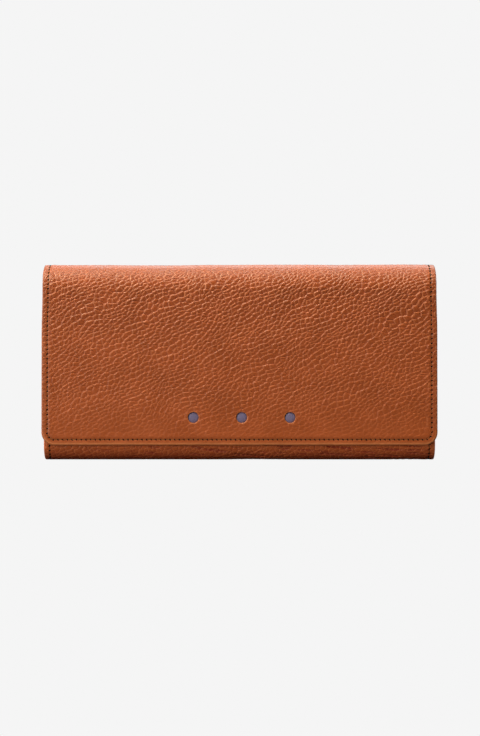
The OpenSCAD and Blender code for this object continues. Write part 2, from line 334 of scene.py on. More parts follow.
def closed_faces(rings, corners, copies, start=0):
    """Faces of many like shapes, each made of rings of corners and closed by a cap at either end."""
    first = start + np.arange(copies)[:, None] * rings * corners
    sides = first[:, None] + loop_faces(rings, corners)[:, ::-1]
    caps = [first + np.arange(corners)[::-1], first + (rings - 1) * corners + np.arange(corners)]
    return sides.reshape(-1, 4).tolist() + caps[0].tolist() + caps[1].tolist()


def grid_faces(rows, across, first=0, flip=False):
    """Quads of an open grid whose corners start at a vertex number."""
    i, j = np.meshgrid(np.arange(rows - 1), np.arange(across - 1), indexing="ij")
    corner = first + i * across + j
    quads = joined(corner, corner + across, corner + across + 1, corner + 1).reshape(-1, 4)
    return quads[:, ::-1] if flip else quads


def make_piece(name, points, faces, material, uv=None, marks=None):
    """A smooth mesh object from points and a list of faces, with its UV map and its vertex attributes."""
    mesh = bpy.data.meshes.new(name)
    mesh.from_pydata(points.reshape(-1, 3).tolist(), [], faces)
    mesh.polygons.foreach_set("use_smooth", np.ones(len(mesh.polygons), bool))
    if uv is not None:
        corner = np.zeros(len(mesh.loops), np.int32)
        mesh.loops.foreach_get("vertex_index", corner)
        layer = mesh.uv_layers.new(name="leather")
        layer.data.foreach_set("uv", uv.reshape(-1, 2)[corner].astype(np.float32).ravel())
    for mark, values in (marks or {}).items():
        attribute = mesh.attributes.new(mark, "FLOAT", "POINT")
        attribute.data.foreach_set("value", np.asarray(values, np.float32).ravel())
    mesh.materials.append(material)
    mesh.update()
    piece = bpy.data.objects.new(name, mesh)
    bpy.context.scene.collection.objects.link(piece)
    return piece


def shell_piece(name, top, bottom, material, uv):
    """A closed shell from two grids of one size: the top, the bottom turned over, and the four sides."""
    rows, across = top.shape[:2]
    points = np.concatenate([top.reshape(-1, 3), bottom.reshape(-1, 3)])
    count = rows * across
    index = np.arange(count).reshape(rows, across)
    rim = np.concatenate([index[:-1, 0], index[-1, :-1], index[:0:-1, -1], index[0, :0:-1]])
    after = np.roll(rim, -1)
    sides = joined(rim, rim + count, after + count, after)
    faces = np.concatenate([grid_faces(rows, across), grid_faces(rows, across, count, True), sides])
    return make_piece(name, points, faces.tolist(), material, np.concatenate([uv.reshape(-1, 2)] * 2))


# Across and along steps of a sheet's mesh: fine where the grain is seen close, plain elsewhere.
FINE_STEPS, PLAIN_STEPS = (0.34 * MM, 0.205 * MM), (0.62 * MM, 0.42 * MM)


class Sheet:
    """A leather sheet carried along a path: a closed tube whose rows run over the top and back underneath.

    The top and bottom functions give the offset of each face from the path, for arrays of x, s and inset.
    """

    UNDER_STEP, UNDER_BAND, UNDER_COUNT = 6 * MM, 2.2 * MM, 8

    def __init__(self, path, outline, top, bottom, steps=PLAIN_STEPS, band=5 * MM, count=14):
        s = outline.stations(steps[1], band, count)
        half = outline.half_at(s)
        over = columns(half, band, count, steps[0])
        under = columns(half, min(band, self.UNDER_BAND), self.UNDER_COUNT, self.UNDER_STEP)[:, ::-1]
        x = np.concatenate([over, under], 1)
        s = np.repeat(s[:, None], x.shape[1], 1)
        inset = outline.inset(x, s)
        self.path, self.outline, self.top = path, outline, top
        self.over = over.shape[1]
        self.rows, self.around = x.shape
        s_over, s_under = np.split(s, [self.over], 1)
        inset_over, inset_under = np.split(inset, [self.over], 1)
        offset = np.concatenate([top(over, s_over, inset_over), bottom(under, s_under, inset_under)], 1)
        self.points = path.place(x, s, offset).reshape(-1, 3)
        self.quads = loop_faces(self.rows, self.around)
        self.keep = np.ones(len(self.quads), bool)
        end = self.rows * self.around
        self.caps = [list(range(self.around)), list(range(end - 1, end - self.around - 1, -1))]
        self.extra = []
        self.x, self.s, self.inset = x.ravel(), s.ravel(), inset.ravel()
        self.is_top = np.tile(np.arange(self.around) < self.over, self.rows)

    def punch(self, x0, s0, radius, depth, room):
        """Cuts a round blind hole in the top face.

        A block of quads round the hole goes. Rings run from the block's border to the rim, over a small
        bevel, down the wall and to the floor; every ring keeps the border's angles.
        """
        wide = self.around
        grid = self.rows * wide
        x = self.x[:grid].reshape(self.rows, wide)
        s = self.s[:grid].reshape(self.rows, wide)[:, 0]
        rows = np.flatnonzero(np.abs(s - s0) <= room)
        cols = np.flatnonzero(np.abs(x[rows[0], : self.over] - x0) <= room)
        i0, i1, j0, j1 = rows[0], rows[-1], cols[0], cols[-1]
        inside = np.zeros((self.rows - 1, wide), bool)
        inside[i0:i1, j0:j1] = True
        self.keep &= ~inside.ravel()
        down, across = np.arange(i0, i1) * wide, np.arange(j0, j1)
        sides = [down + j0, i1 * wide + across, down[::-1] + wide + j1, i0 * wide + across[::-1] + 1]
        border = np.concatenate(sides)
        bx, bs = self.x[border] - x0, self.s[border] - s0
        reach = np.hypot(bx, bs)
        ux, us = bx / reach, bs / reach
        bevel = 0.28 * MM
        rings = [(reach + (radius + 2 * bevel - reach) * share, 0.0) for share in (0.35, 0.65, 0.9)]
        rings += [(np.full(len(border), radius + bevel * (1 - math.sin(a))), -bevel * (1 - math.cos(a)))
                  for a in np.radians((10, 35, 60, 90))]
        rings += [(np.full(len(border), radius), -depth * share) for share in (0.5, 1.0)]
        ring = border
        for reach_now, drop in rings:
            x_now, s_now = x0 + ux * reach_now, s0 + us * reach_now
            inset = self.outline.inset(x_now, s_now)
            offset = self.top(x_now, s_now, inset) + drop
            first = len(self.points)
            self.points = np.concatenate([self.points, self.path.place(x_now, s_now, offset)])
            self.x, self.s = np.append(self.x, x_now), np.append(self.s, s_now)
            self.inset = np.append(self.inset, inset)
            self.is_top = np.append(self.is_top, np.ones(len(x_now), bool))
            new = first + np.arange(len(border))
            self.extra += np.stack([ring, np.roll(ring, -1), np.roll(new, -1), new], -1).tolist()
            ring = new
        self.extra.append(ring.tolist())

    def piece(self, name, material, marks=None):
        """The mesh object, with x and s as its UV map and marks(x, s, inset, is_top) as its attributes."""
        faces = self.caps + self.quads[self.keep].tolist() + self.extra
        uv = np.stack([self.x, self.s], -1)
        values = marks(self.x, self.s, self.inset, self.is_top) if marks else None
        piece = make_piece(name, self.points, faces, material, uv, values)
        self.sharpen_caps(piece.data)
        return piece

    def sharpen_caps(self, mesh):
        """Keeps the end caps out of the smooth shading, so that neighbouring pieces meet without a line."""
        for number in range(len(self.caps)):
            mesh.polygons[number].use_smooth = False
        ends = np.zeros(len(mesh.edges) * 2, np.int32)
        mesh.edges.foreach_get("vertices", ends)
        ends = ends.reshape(-1, 2)
        last = (self.rows - 1) * self.around
        on_cap = (ends < self.around).all(1) | ((ends >= last) & (ends < last + self.around)).all(1)
        sharp = mesh.attributes.new("sharp_edge", "BOOLEAN", "EDGE")
        sharp.data.foreach_set("value", on_cap)


# ---- The hide's path: front panel, base, back, roll and flap ----

FLAT_BASE = BACK_Y - FRONT_Y - 2 * BASE_R
HIDE = SectionPath(
    (FRONT_Y, PANEL_TOP),
    -90,
    [
        (PANEL_TOP - BASE_R, 0),
        (BASE_R * math.pi / 2, 90),
        (FLAT_BASE, 0),
        (BASE_R * math.pi / 2, 90),
        (ROLL_Z - BASE_R, 0),
        (ROLL_R * math.pi, 180),
        (ROLL_Z - FLAP_Z, 0),
    ],
)
S_FOOT = HIDE.start_of(1) - 8 * MM
S_BASE = HIDE.start_of(2) + FLAT_BASE / 2
S_BACK = HIDE.start_of(4)
S_ROLL = HIDE.start_of(5)
S_FLAP = HIDE.start_of(6)
S_TIP = HIDE.length
S_MIDDLE = S_FLAP + 19 * MM
S_LOWER = S_FLAP + 48 * MM


def roll_s(degrees):
    """Distance along the hide at an angle over the roll, from the rear."""
    return S_ROLL + math.radians(degrees) * ROLL_R


def flap_s(z):
    """Distance along the hide at a height on the flap."""
    return S_FLAP + ROLL_Z - z


def hide_half(s):
    """Half the hide's width, eased between stations from the front panel round to the flap."""
    stations = [
        (0, BODY_HALF),
        (HIDE.start_of(1), BODY_HALF + 0.2 * MM),
        (S_BASE, BODY_HALF - 0.1 * MM),
        (S_BACK, BODY_HALF),
        (S_ROLL - 10 * MM, BODY_HALF - 0.1 * MM),
        (roll_s(95), ROLL_HALF - 0.5 * MM),
        (roll_s(150), ROLL_HALF),
        (S_FLAP, ROLL_HALF),
        (S_FLAP + 22 * MM, FLAP_HALF - 0.08 * MM),
        (S_TIP, FLAP_HALF),
    ]
    s = np.asarray(s, float)
    half = np.full(s.shape, stations[0][1])
    for (s0, _), (s1, half1) in zip(stations, stations[1:]):
        half = half + (half1 - half) * smooth(s0, s1, s) * (s > s0)
    return half


# ---- Settings ----


def colour_setting(name, description, default):
    """A colour that a user may change."""
    return FloatVectorProperty(
        name=name, description=description, default=default, min=0, max=1, subtype="COLOR"
    )


def length_setting(name, description, default, smallest, largest):
    """A length in metres that a user may change."""
    return FloatProperty(
        name=name, description=description, default=default, min=smallest, max=largest, unit="LENGTH"
    )


def power_setting(name, description, default):
    """A lamp's power in watts that a user may change."""
    return FloatProperty(name=name, description=description, default=default, min=0, unit="POWER")


class LeatherSettings(bpy.types.PropertyGroup):
    """Sizes and colours of the leather and its thread."""

    hide_colour: colour_setting("Hide colour", "Colour of the outer leather", (0.465, 0.093, 0.017))
    # Painted shade: the darker colour of the hide's creases, fine wrinkles and the turn under the base.
    crease_colour: colour_setting(
        "Crease colour", "Colour of the outer leather deep in its creases", (0.27, 0.034, 0.009)
    )
    # Rub wear along the edges, and painted highlight on the pebbles' upper lips and round the punched holes'
    # rims.
    edge_colour: colour_setting(
        "Edge colour", "Colour of the outer leather where its edges are rubbed", (0.72, 0.22, 0.07)
    )
    lining_colour: colour_setting("Lining colour", "Colour of the lining leather", (0.23, 0.18, 0.31))
    thread_colour: colour_setting("Thread colour", "Colour of the sewing thread", (0.21, 0.115, 0.03))
    grain_length: length_setting(
        "Grain length", "Usual length of a pebble of the grain", 2.65 * MM, 1 * MM, 10 * MM
    )
    grain_width: length_setting(
        "Grain width", "Usual width of a pebble of the grain", 2.0 * MM, 1 * MM, 10 * MM
    )
    grain_turn: FloatProperty(
        name="Grain turn", description="Angle at which the pebbles rise to the right", subtype="ANGLE",
        default=math.radians(21),
    )
    grain_depth: length_setting(
        "Grain depth", "Height of a pebble above its creases", 0.33 * MM, 0, 1 * MM
    )
    stitch_pitch: length_setting(
        "Stitch pitch", "Distance from one needle hole to the next", 2.3 * MM, 1 * MM, 5 * MM
    )
    stitch_inset: length_setting(
        "Stitch inset", "Distance of the stitching from the edge", 2.85 * MM, 1 * MM, 6 * MM
    )
    thread_width: length_setting(
        "Thread width", "Thickness of the sewing thread", 0.38 * MM, 0.1 * MM, 1 * MM
    )


class ZipSettings(bpy.types.PropertyGroup):
    """Sizes and colours of the zip."""

    metal_colour: colour_setting("Metal colour", "Colour of the zip's metal", (0.78, 0.56, 0.26))
    tape_colour: colour_setting("Tape colour", "Colour of the zip's woven tapes", (0.12, 0.06, 0.035))
    tooth_pitch: length_setting(
        "Tooth pitch", "Distance between neighbouring teeth of one row", 2.4 * MM, 1 * MM, 5 * MM
    )


class StageSettings(bpy.types.PropertyGroup):
    """Camera and light."""

    camera_distance: length_setting(
        "Camera distance", "Distance from the camera to the flap's face", 1.5, 0.3, 10
    )
    frame_height: length_setting(
        "Frame height", "Height that the picture covers at the flap's face", 0.362, 0.1, 2
    )
    camera_height: length_setting(
        "Camera height", "Height of the level camera above the base", 45.3 * MM, -1, 2
    )
    top_light: power_setting("Top light", "Power of the lamp above, in front and to the left", 9.0)
    crown_light: power_setting("Crown light", "Power of the wide lamp over the crown of the roll", 6.5)
    back_light: power_setting("Back light", "Power of the soft lamp behind", 5)
    side_light: power_setting("Side light", "Power of each soft lamp behind the sides", 9)
    fill_light: power_setting("Fill light", "Power of the soft lamp beside the camera", 7.8)
    backdrop: FloatProperty(
        name="Backdrop", description="Brightness of the floor and backdrop", default=0.913, min=0, max=1,
    )


# ---- Materials ----


def link(tree, start, out, end, into):
    """Joins an output to an input, each named by its label or number."""
    tree.links.new(start.outputs[out], end.inputs[into])


def new_node(tree, kind, inputs=None, **settings):
    """A shader node with some of its settings and plain inputs."""
    node = tree.nodes.new(kind)
    for name, value in settings.items():
        setattr(node, name, value)
    for name, value in (inputs or {}).items():
        node.inputs[name].default_value = value
    return node

def feed(tree, socket, source):
    """Gives a socket a number, a colour, or the output named in a pair of node and output."""
    if isinstance(source, tuple) and isinstance(source[0], bpy.types.Node):
        tree.links.new(source[0].outputs[source[1]], socket)
    elif isinstance(source, (int, float)):
        socket.default_value = source
    else:
        socket.default_value = (*source, 1.0)


def maths(tree, operation, *sources):
    """A Math node fed with numbers or pairs of a node and its output."""
    node = new_node(tree, "ShaderNodeMath", operation=operation)
    for number, source in enumerate(sources):
        feed(tree, node.inputs[number], source)
    return node


# Sockets of a colour mix: the share and the two colours go in, and the colour comes out.
MIX_SHARE, MIX_FIRST, MIX_SECOND, MIXED = 0, 6, 7, 2


def mix_colour(tree, share, first, second, blend="MIX"):
    """A colour mix; every argument is a number, a colour or a pair of a node and its output."""
    node = new_node(tree, "ShaderNodeMix", data_type="RGBA", blend_type=blend)
    for number, source in ((MIX_SHARE, share), (MIX_FIRST, first), (MIX_SECOND, second)):
        feed(tree, node.inputs[number], source)
    return node


def paint(tree, shader, share, first, second, blend="MIX"):
    """A colour mix that becomes the shader's base colour."""
    link(tree, mix_colour(tree, share, first, second, blend), MIXED, shader, "Base Color")


def shade(colour, share):
    """A darker share of a colour."""
    return [channel * share for channel in colour]


def stretch_range(tree, source, from_range, to_range):
    """Maps a value from one range to another."""
    values = dict(zip(("From Min", "From Max", "To Min", "To Max"), (*from_range, *to_range)))
    node = new_node(tree, "ShaderNodeMapRange", values)
    feed(tree, node.inputs[0], source)
    return node


def new_group(name, inputs, outputs):
    """A node group with a vector input called Map, float inputs with their defaults, and float outputs."""
    group = bpy.data.node_groups.new(name, "ShaderNodeTree")
    sockets = group.interface
    sockets.new_socket("Map", in_out="INPUT", socket_type="NodeSocketVector")
    for socket, value in inputs.items():
        sockets.new_socket(socket, in_out="INPUT", socket_type="NodeSocketFloat").default_value = value
    for socket in outputs:
        sockets.new_socket(socket, in_out="OUTPUT", socket_type="NodeSocketFloat")
    return group, group.nodes.new("NodeGroupInput"), group.nodes.new("NodeGroupOutput")


def leather_skin():
    """Node group: the small wrinkles and pores of a leather, from a map in metres.

    The height is in metres: noise for the pores less exp(-distance / width) at the fine wrinkles, times
    Depth. Wrinkle is a mask of the fine wrinkles, and Mottle is a slow noise.
    """
    if "leather_skin" in bpy.data.node_groups:
        return bpy.data.node_groups["leather_skin"]
    outputs = ("Height", "Wrinkle", "Mottle")
    group, given, result = new_group("leather_skin", {"Depth": 0.03, "Cell": 1.3}, outputs)
    in_mm = new_node(group, "ShaderNodeVectorMath", {"Scale": 1 / MM}, operation="SCALE")
    link(group, given, "Map", in_mm, 0)
    drift = new_node(group, "ShaderNodeTexNoise", {"Scale": 0.5, "Detail": 1.0})
    link(group, in_mm, 0, drift, "Vector")
    warped = new_node(group, "ShaderNodeVectorMath", {1: (1.6, 1.6, 1.6)}, operation="MULTIPLY_ADD")
    link(group, drift, "Color", warped, 0)
    link(group, in_mm, 0, warped, 2)
    rate = maths(group, "DIVIDE", 1.0, (given, "Cell"))
    wrinkle = new_node(group, "ShaderNodeTexVoronoi", feature="DISTANCE_TO_EDGE")
    link(group, warped, 0, wrinkle, "Vector")
    link(group, rate, 0, wrinkle, "Scale")
    sharp = maths(group, "MULTIPLY", (wrinkle, "Distance"), -9.0)
    fall = maths(group, "EXPONENT", (sharp, 0))
    pores = new_node(group, "ShaderNodeTexNoise", {"Scale": 2.6, "Detail": 3.0, "Roughness": 0.6})
    link(group, in_mm, 0, pores, "Vector")
    uneven = maths(group, "SUBTRACT", (pores, "Fac"), (fall, 0))
    deep = maths(group, "MULTIPLY", (given, "Depth"), MM)
    height = maths(group, "MULTIPLY", (uneven, 0), (deep, 0))
    link(group, height, 0, result, "Height")
    link(group, fall, 0, result, "Wrinkle")
    slow = new_node(group, "ShaderNodeTexNoise", {"Scale": 0.07, "Detail": 3.0})
    link(group, in_mm, 0, slow, "Vector")
    link(group, slow, "Fac", result, "Mottle")
    return group


def metal_wear():
    """Node group: fine scratches, as a height in metres, and a patchy wear mask, from a map in metres."""
    if "metal_wear" in bpy.data.node_groups:
        return bpy.data.node_groups["metal_wear"]
    group, given, result = new_group("metal_wear", {"Depth": 0.01}, ("Height", "Wear"))
    long = new_node(group, "ShaderNodeVectorMath", {1: (400.0, 4000.0, 4000.0)}, operation="MULTIPLY")
    link(group, given, "Map", long, 0)
    lines = new_node(group, "ShaderNodeTexNoise", {"Scale": 1.0, "Detail": 4.0})
    link(group, long, 0, lines, "Vector")
    deep = maths(group, "MULTIPLY", (given, "Depth"), MM)
    height = maths(group, "MULTIPLY", (lines, "Fac"), (deep, 0))
    link(group, height, 0, result, "Height")
    patches = new_node(group, "ShaderNodeTexNoise", {"Scale": 700.0, "Detail": 3.0})
    link(group, given, "Map", patches, "Vector")
    link(group, patches, "Fac", result, "Wear")
    return group


def start_material(name, roughness, **sockets):
    """A new node material with one Principled shader, whose plain values are set on its own sockets."""
    material = bpy.data.materials.new(name)
    material.use_nodes = True
    shader = material.node_tree.nodes["Principled BSDF"]
    shader.inputs["Roughness"].default_value = roughness
    for socket, value in sockets.items():
        shader.inputs[socket.replace("_", " ")].default_value = value
    return material, material.node_tree, shader


def bump_from(tree, shader, height):
    """Feeds a height in metres through a Bump node to the shader's normal."""
    bump = new_node(tree, "ShaderNodeBump", {"Strength": 1.0, "Distance": 1.0})
    feed(tree, bump.inputs["Height"], height)
    link(tree, bump, 0, shader, "Normal")


def once(make):
    """Lets a material be made only the first time that it is asked for."""

    def wrapped(settings):
        name = make.__name__
        return bpy.data.materials.get(name) or make(settings, name)

    return wrapped


@once
def pebbled_tan_leather(settings, name):
    """Outer leather: a tone for every pebble, mottle and fine wrinkles. Creases, fine wrinkles and the turn
    under the base are darker as painted shade; the edges are lighter from rub wear, and the pebbles' upper
    lips and the holes' rims are lighter as painted highlight.
    """
    material, tree, shader = start_material(
        name, 0.4, Specular_IOR_Level=0.6, Specular_Tint=(1.0, 0.95, 0.84, 1.0)
    )
    uv = new_node(tree, "ShaderNodeUVMap", uv_map="leather")
    marks = {mark: new_node(tree, "ShaderNodeAttribute", attribute_name=mark)
             for mark in ("grain", "crease", "tone", "edge")}
    skin = new_node(tree, "ShaderNodeGroup", {"Depth": 0.018, "Cell": 1.25}, node_tree=leather_skin())
    link(tree, uv, 0, skin, "Map")
    wrinkled = maths(tree, "MULTIPLY_ADD", (marks["grain"], "Fac"), 0.8, 0.2)
    height = maths(tree, "MULTIPLY", (skin, "Height"), (wrinkled, 0))
    bump_from(tree, shader, (height, 0))
    fine = maths(tree, "MULTIPLY", (skin, "Wrinkle"), (marks["grain"], "Fac"))
    # Painted shade: fine wrinkles, creases and the turn under the base take the darker crease colour.
    dark = maths(tree, "MULTIPLY_ADD", (fine, 0), 0.25, (marks["crease"], "Fac"))
    dark.use_clamp = True
    creased = mix_colour(tree, (dark, 0), settings.hide_colour, settings.crease_colour)
    # Rub wear at the edges, and painted highlight on the pebbles' upper lips and the holes' rims, take the
    # lighter colour.
    rubbed_and_highlighted = mix_colour(tree, (marks["edge"], "Fac"), (creased, MIXED), settings.edge_colour)
    slow = stretch_range(tree, (skin, "Mottle"), (0.3, 0.7), (0.92, 1.08))
    # The tone mark holds each pebble's own tone, with painted shade in the band beside the stitching and
    # painted light on the lower front panel.
    cell = maths(tree, "MULTIPLY", (marks["tone"], "Fac"), (slow, 0))
    grey = new_node(tree, "ShaderNodeCombineColor")
    for channel in range(3):
        link(tree, cell, 0, grey, channel)
    paint(tree, shader, 1.0, (rubbed_and_highlighted, MIXED), (grey, 0), "MULTIPLY")
    sheen = stretch_range(tree, (skin, "Mottle"), (0.3, 0.7), (0.33, 0.43))
    rough = maths(tree, "MULTIPLY_ADD", (dark, 0), 0.25, (sheen, 0))
    link(tree, rough, 0, shader, "Roughness")
    return material


def smooth_leather(name, colour, cell, depth):
    """Leather with a fine even skin, on its leather map, a little darker in its patches, and darker in its
    wrinkles as painted shade.
    """
    material, tree, shader = start_material(name, 0.55)
    uv = new_node(tree, "ShaderNodeUVMap", uv_map="leather")
    skin = new_node(tree, "ShaderNodeGroup", {"Depth": depth, "Cell": cell}, node_tree=leather_skin())
    link(tree, uv, 0, skin, "Map")
    bump_from(tree, shader, (skin, "Height"))
    mixed = mix_colour(tree, (skin, "Mottle"), shade(colour, 0.78), colour)
    # Painted shade: the fine wrinkles are darker.
    wrinkle_shade = maths(tree, "MULTIPLY", (skin, "Wrinkle"), 0.3)
    paint(tree, shader, (wrinkle_shade, 0), (mixed, MIXED), shade(colour, 0.6))
    return material


@once
def lavender_lining_leather(settings, name):
    """Thin soft lining."""
    return smooth_leather(name, settings.lining_colour, 0.9, 0.02)


@once
def smooth_tan_leather(settings, name):
    """The gussets' tan leather, without the hide's pebbles."""
    return smooth_leather(name, settings.hide_colour, 1.1, 0.025)


@once
def plain_tan_leather(settings, name):
    """Tan leather for parts without a leather map, on the object's coordinates."""
    material, tree, shader = start_material(name, 0.55)
    place = new_node(tree, "ShaderNodeTexCoord")
    skin = new_node(tree, "ShaderNodeGroup", {"Depth": 0.025, "Cell": 1.1}, node_tree=leather_skin())
    link(tree, place, "Object", skin, "Map")
    bump_from(tree, shader, (skin, "Height"))
    paint(tree, shader, (skin, "Mottle"), shade(settings.hide_colour, 0.7), settings.hide_colour)
    return material


@once
def waxed_thread(settings, name):
    """Twisted thread with diagonal plies, darker between them as painted shade, and near-black needle holes
    as painted shade where the hole attribute is 1.
    """
    material, tree, shader = start_material(name, 0.6, Specular_IOR_Level=0.2)
    uv = new_node(tree, "ShaderNodeUVMap", uv_map="leather")
    in_mm = new_node(tree, "ShaderNodeVectorMath", {"Scale": 1 / MM}, operation="SCALE")
    link(tree, uv, 0, in_mm, 0)
    plies = new_node(
        tree, "ShaderNodeTexWave", {"Scale": 0.9, "Distortion": 0.5}, bands_direction="DIAGONAL"
    )
    link(tree, in_mm, 0, plies, "Vector")
    colour = settings.thread_colour
    # Painted shade: the thread is darker in the diagonal grooves between its plies.
    twisted = mix_colour(tree, (plies, "Fac"), shade(colour, 0.5), colour)
    hole = new_node(tree, "ShaderNodeAttribute", attribute_name="hole")
    # Painted shade: the needle holes are near black.
    paint(tree, shader, (hole, "Fac"), (twisted, MIXED), (0.012, 0.004, 0.002))
    rough = maths(tree, "MULTIPLY_ADD", (hole, "Fac"), 0.35, 0.6)
    link(tree, rough, 0, shader, "Roughness")
    return material


@once
def woven_tape(settings, name):
    """Woven zip tape: two crossed wave bands on the object's coordinates make the weave."""
    material, tree, shader = start_material(name, 0.85)
    place = new_node(tree, "ShaderNodeTexCoord")
    bands = []
    for direction, scale in (("X", 950.0), ("Z", 700.0)):
        values = {"Scale": scale, "Distortion": 0.3}
        band = new_node(tree, "ShaderNodeTexWave", values, bands_direction=direction)
        link(tree, place, "Object", band, "Vector")
        bands.append((band, "Fac"))
    weave = maths(tree, "MULTIPLY", *bands)
    bump_from(tree, shader, (maths(tree, "MULTIPLY", (weave, 0), 0.05 * MM), 0))
    # Painted shade: the tape is darker where the weave is low, between its yarns.
    paint(tree, shader, (weave, 0), shade(settings.tape_colour, 0.45), settings.tape_colour)
    return material


def metal(name, bright, dull, roughness):
    """Metal with fine scratches, duller and rougher in its patches of wear, on the object's coordinates."""
    material, tree, shader = start_material(name, roughness, Metallic=1.0)
    place = new_node(tree, "ShaderNodeTexCoord")
    wear = new_node(tree, "ShaderNodeGroup", {"Depth": 0.0015}, node_tree=metal_wear())
    link(tree, place, "Object", wear, "Map")
    bump_from(tree, shader, (wear, "Height"))
    paint(tree, shader, (wear, "Wear"), bright, dull)
    rough = stretch_range(tree, (wear, "Wear"), (0.3, 0.7), (roughness - 0.08, roughness + 0.12))
    link(tree, rough, 0, shader, "Roughness")
    return material


@once
def zip_brass(settings, name):
    """Warm brass of the zip."""
    return metal(name, settings.metal_colour, shade(settings.metal_colour, 0.7), 0.34)


@once
def magnet_steel(settings, name):
    """Plated steel of the hidden magnets."""
    return metal(name, (0.62, 0.62, 0.64), (0.45, 0.45, 0.47), 0.35)


@once
def stiffener_card(settings, name):
    """Greyboard: short fibres as stretched noise on the object's coordinates."""
    material, tree, shader = start_material(name, 0.9)
    place = new_node(tree, "ShaderNodeTexCoord")
    long = new_node(tree, "ShaderNodeVectorMath", {1: (250.0, 250.0, 1200.0)}, operation="MULTIPLY")
    link(tree, place, "Object", long, 0)
    fibre = new_node(tree, "ShaderNodeTexNoise", {"Scale": 1.0, "Detail": 4.0})
    link(tree, long, 0, fibre, "Vector")
    bump_from(tree, shader, (maths(tree, "MULTIPLY", (fibre, "Fac"), 0.04 * MM), 0))
    paint(tree, shader, (fibre, "Fac"), (0.42, 0.39, 0.33), (0.58, 0.55, 0.47))
    return material


# ---- Outer hide ----


def base_wrinkles(x, s, inset):
    """Long shallow wrinkles where the hide turns under at the front, 0 to 1, growing from left to right."""
    where = bell(s, S_BASE - 13 * MM, 8 * MM) * smooth(0, 6 * MM, inset) * smooth(-95 * MM, 0, x)
    return where * smooth(0.15, 1.3, soft_noise(x / (17 * MM), s / (3.0 * MM), 9))


def hide_relief(x, s, inset, settings):
    """Height of the hide's face above its plain section.

    A groove lies under the stitching, the turned edge outside it is full and the leather swells softly
    inside it. Slow waves run over the whole face, and long low wrinkles cross the front of the base.
    """
    line = settings.stitch_inset
    stitched = -0.22 * bell(inset, line, 0.42 * MM) - 0.06 * (1 - smooth(0, line, inset))
    swell = 0.08 * bell(inset, line + 1.7 * MM, 1.1 * MM)
    waves = 0.10 * soft_noise(x / (34 * MM), s / (26 * MM), 5) * smooth(0, 6 * MM, inset)
    sag = -0.35 * bell(s, roll_s(90), 14 * MM) * bell(x, -50 * MM, 50 * MM)
    return MM * (stitched + swell + waves + sag - 0.55 * base_wrinkles(x, s, inset))


def grain_strength(s, inset, settings):
    """How strong the pebbles are: most at the roll's front, least on its crown and at the flap's edge.

    They are weaker on the back and the upper front panel, whose mesh is coarser, and under the base. The
    leather is smoother outside the stitching, and smooth in its groove and at the very edge.
    """
    down = np.clip((s - S_FLAP) / (S_TIP - S_FLAP), 0, 1)
    strength = 1.0 - 0.36 * smooth(0, 0.6, down) - 0.42 * smooth(0.62, 1.0, down)
    strength = strength + 0.2 * bell(s, roll_s(150), 12 * MM)
    strength = strength * (1 - 0.65 * bell(s, roll_s(100), 8 * MM))
    strength = strength * (1 - 0.45 * bell(s, S_BASE, 14 * MM))
    panel = 1 - smooth(S_FOOT - 25 * MM, S_FOOT, s)
    strength = strength * (1 - 0.4 * np.where(s < S_BASE, panel, s < roll_s(60)))
    line = settings.stitch_inset
    outside = smooth(line - 0.6 * MM, line + 0.6 * MM, inset)
    sewn = 1 - 0.85 * bell(inset, line, 0.55 * MM)
    return strength * (0.85 + 0.15 * outside) * sewn * smooth(0.1 * MM, 0.8 * MM, inset)


# Share of the small pebbles that lie among the large ones, and the grain's mean height.
SMALL_SHARE, MEAN_HEIGHT = 0.12, 0.58


def hide_grain(x, s, inset, settings):
    """Height of the pebbled grain in metres about its mean, with its crease mask for painted shade, which
    also takes in the turn under the base, its lip mask for painted highlight, and its tone.
    """
    strength = grain_strength(s, inset, settings)
    length, width, turn = settings.grain_length, settings.grain_width, settings.grain_turn
    large, crease, lip, tone = pebbles(x, s, length, width, turn, 21)
    small, small_crease, small_lip, _ = pebbles(x, s, 0.58 * length, 0.62 * width, 0.6 * turn, 31)
    height = settings.grain_depth * strength * (large + SMALL_SHARE * small - MEAN_HEIGHT)
    # Painted shade where the hide turns under the base; it joins the base wrinkles in the crease mask.
    under = smooth(S_BASE - 15 * MM, S_BASE - 6 * MM, s) * (s < S_BASE + 5 * MM)
    creases = strength * (crease + SMALL_SHARE * small_crease) + base_wrinkles(x, s, inset) + 0.95 * under
    lips = strength * np.clip(lip + SMALL_SHARE * small_lip, 0, 1)
    return height, np.clip(creases, 0, 1), lips, 1 + 0.09 * strength * (tone - 0.5)


def hide_bottom(x, s, inset):
    """Offset of the hide's inner face: the turned-in hem, then a shallow bed for the lining."""
    bed = (PANEL_T - HIDE_T + 0.05 * MM) * smooth(HEM - 0.1 * MM, HEM + 0.1 * MM, inset)
    return -PANEL_T / 2 - rounded(inset, PANEL_T) + bed


def middle_point(s):
    """Point on the hide's path in the middle of its width."""
    return tuple(HIDE.place(np.zeros(1), np.array([s]), np.zeros(1))[0])


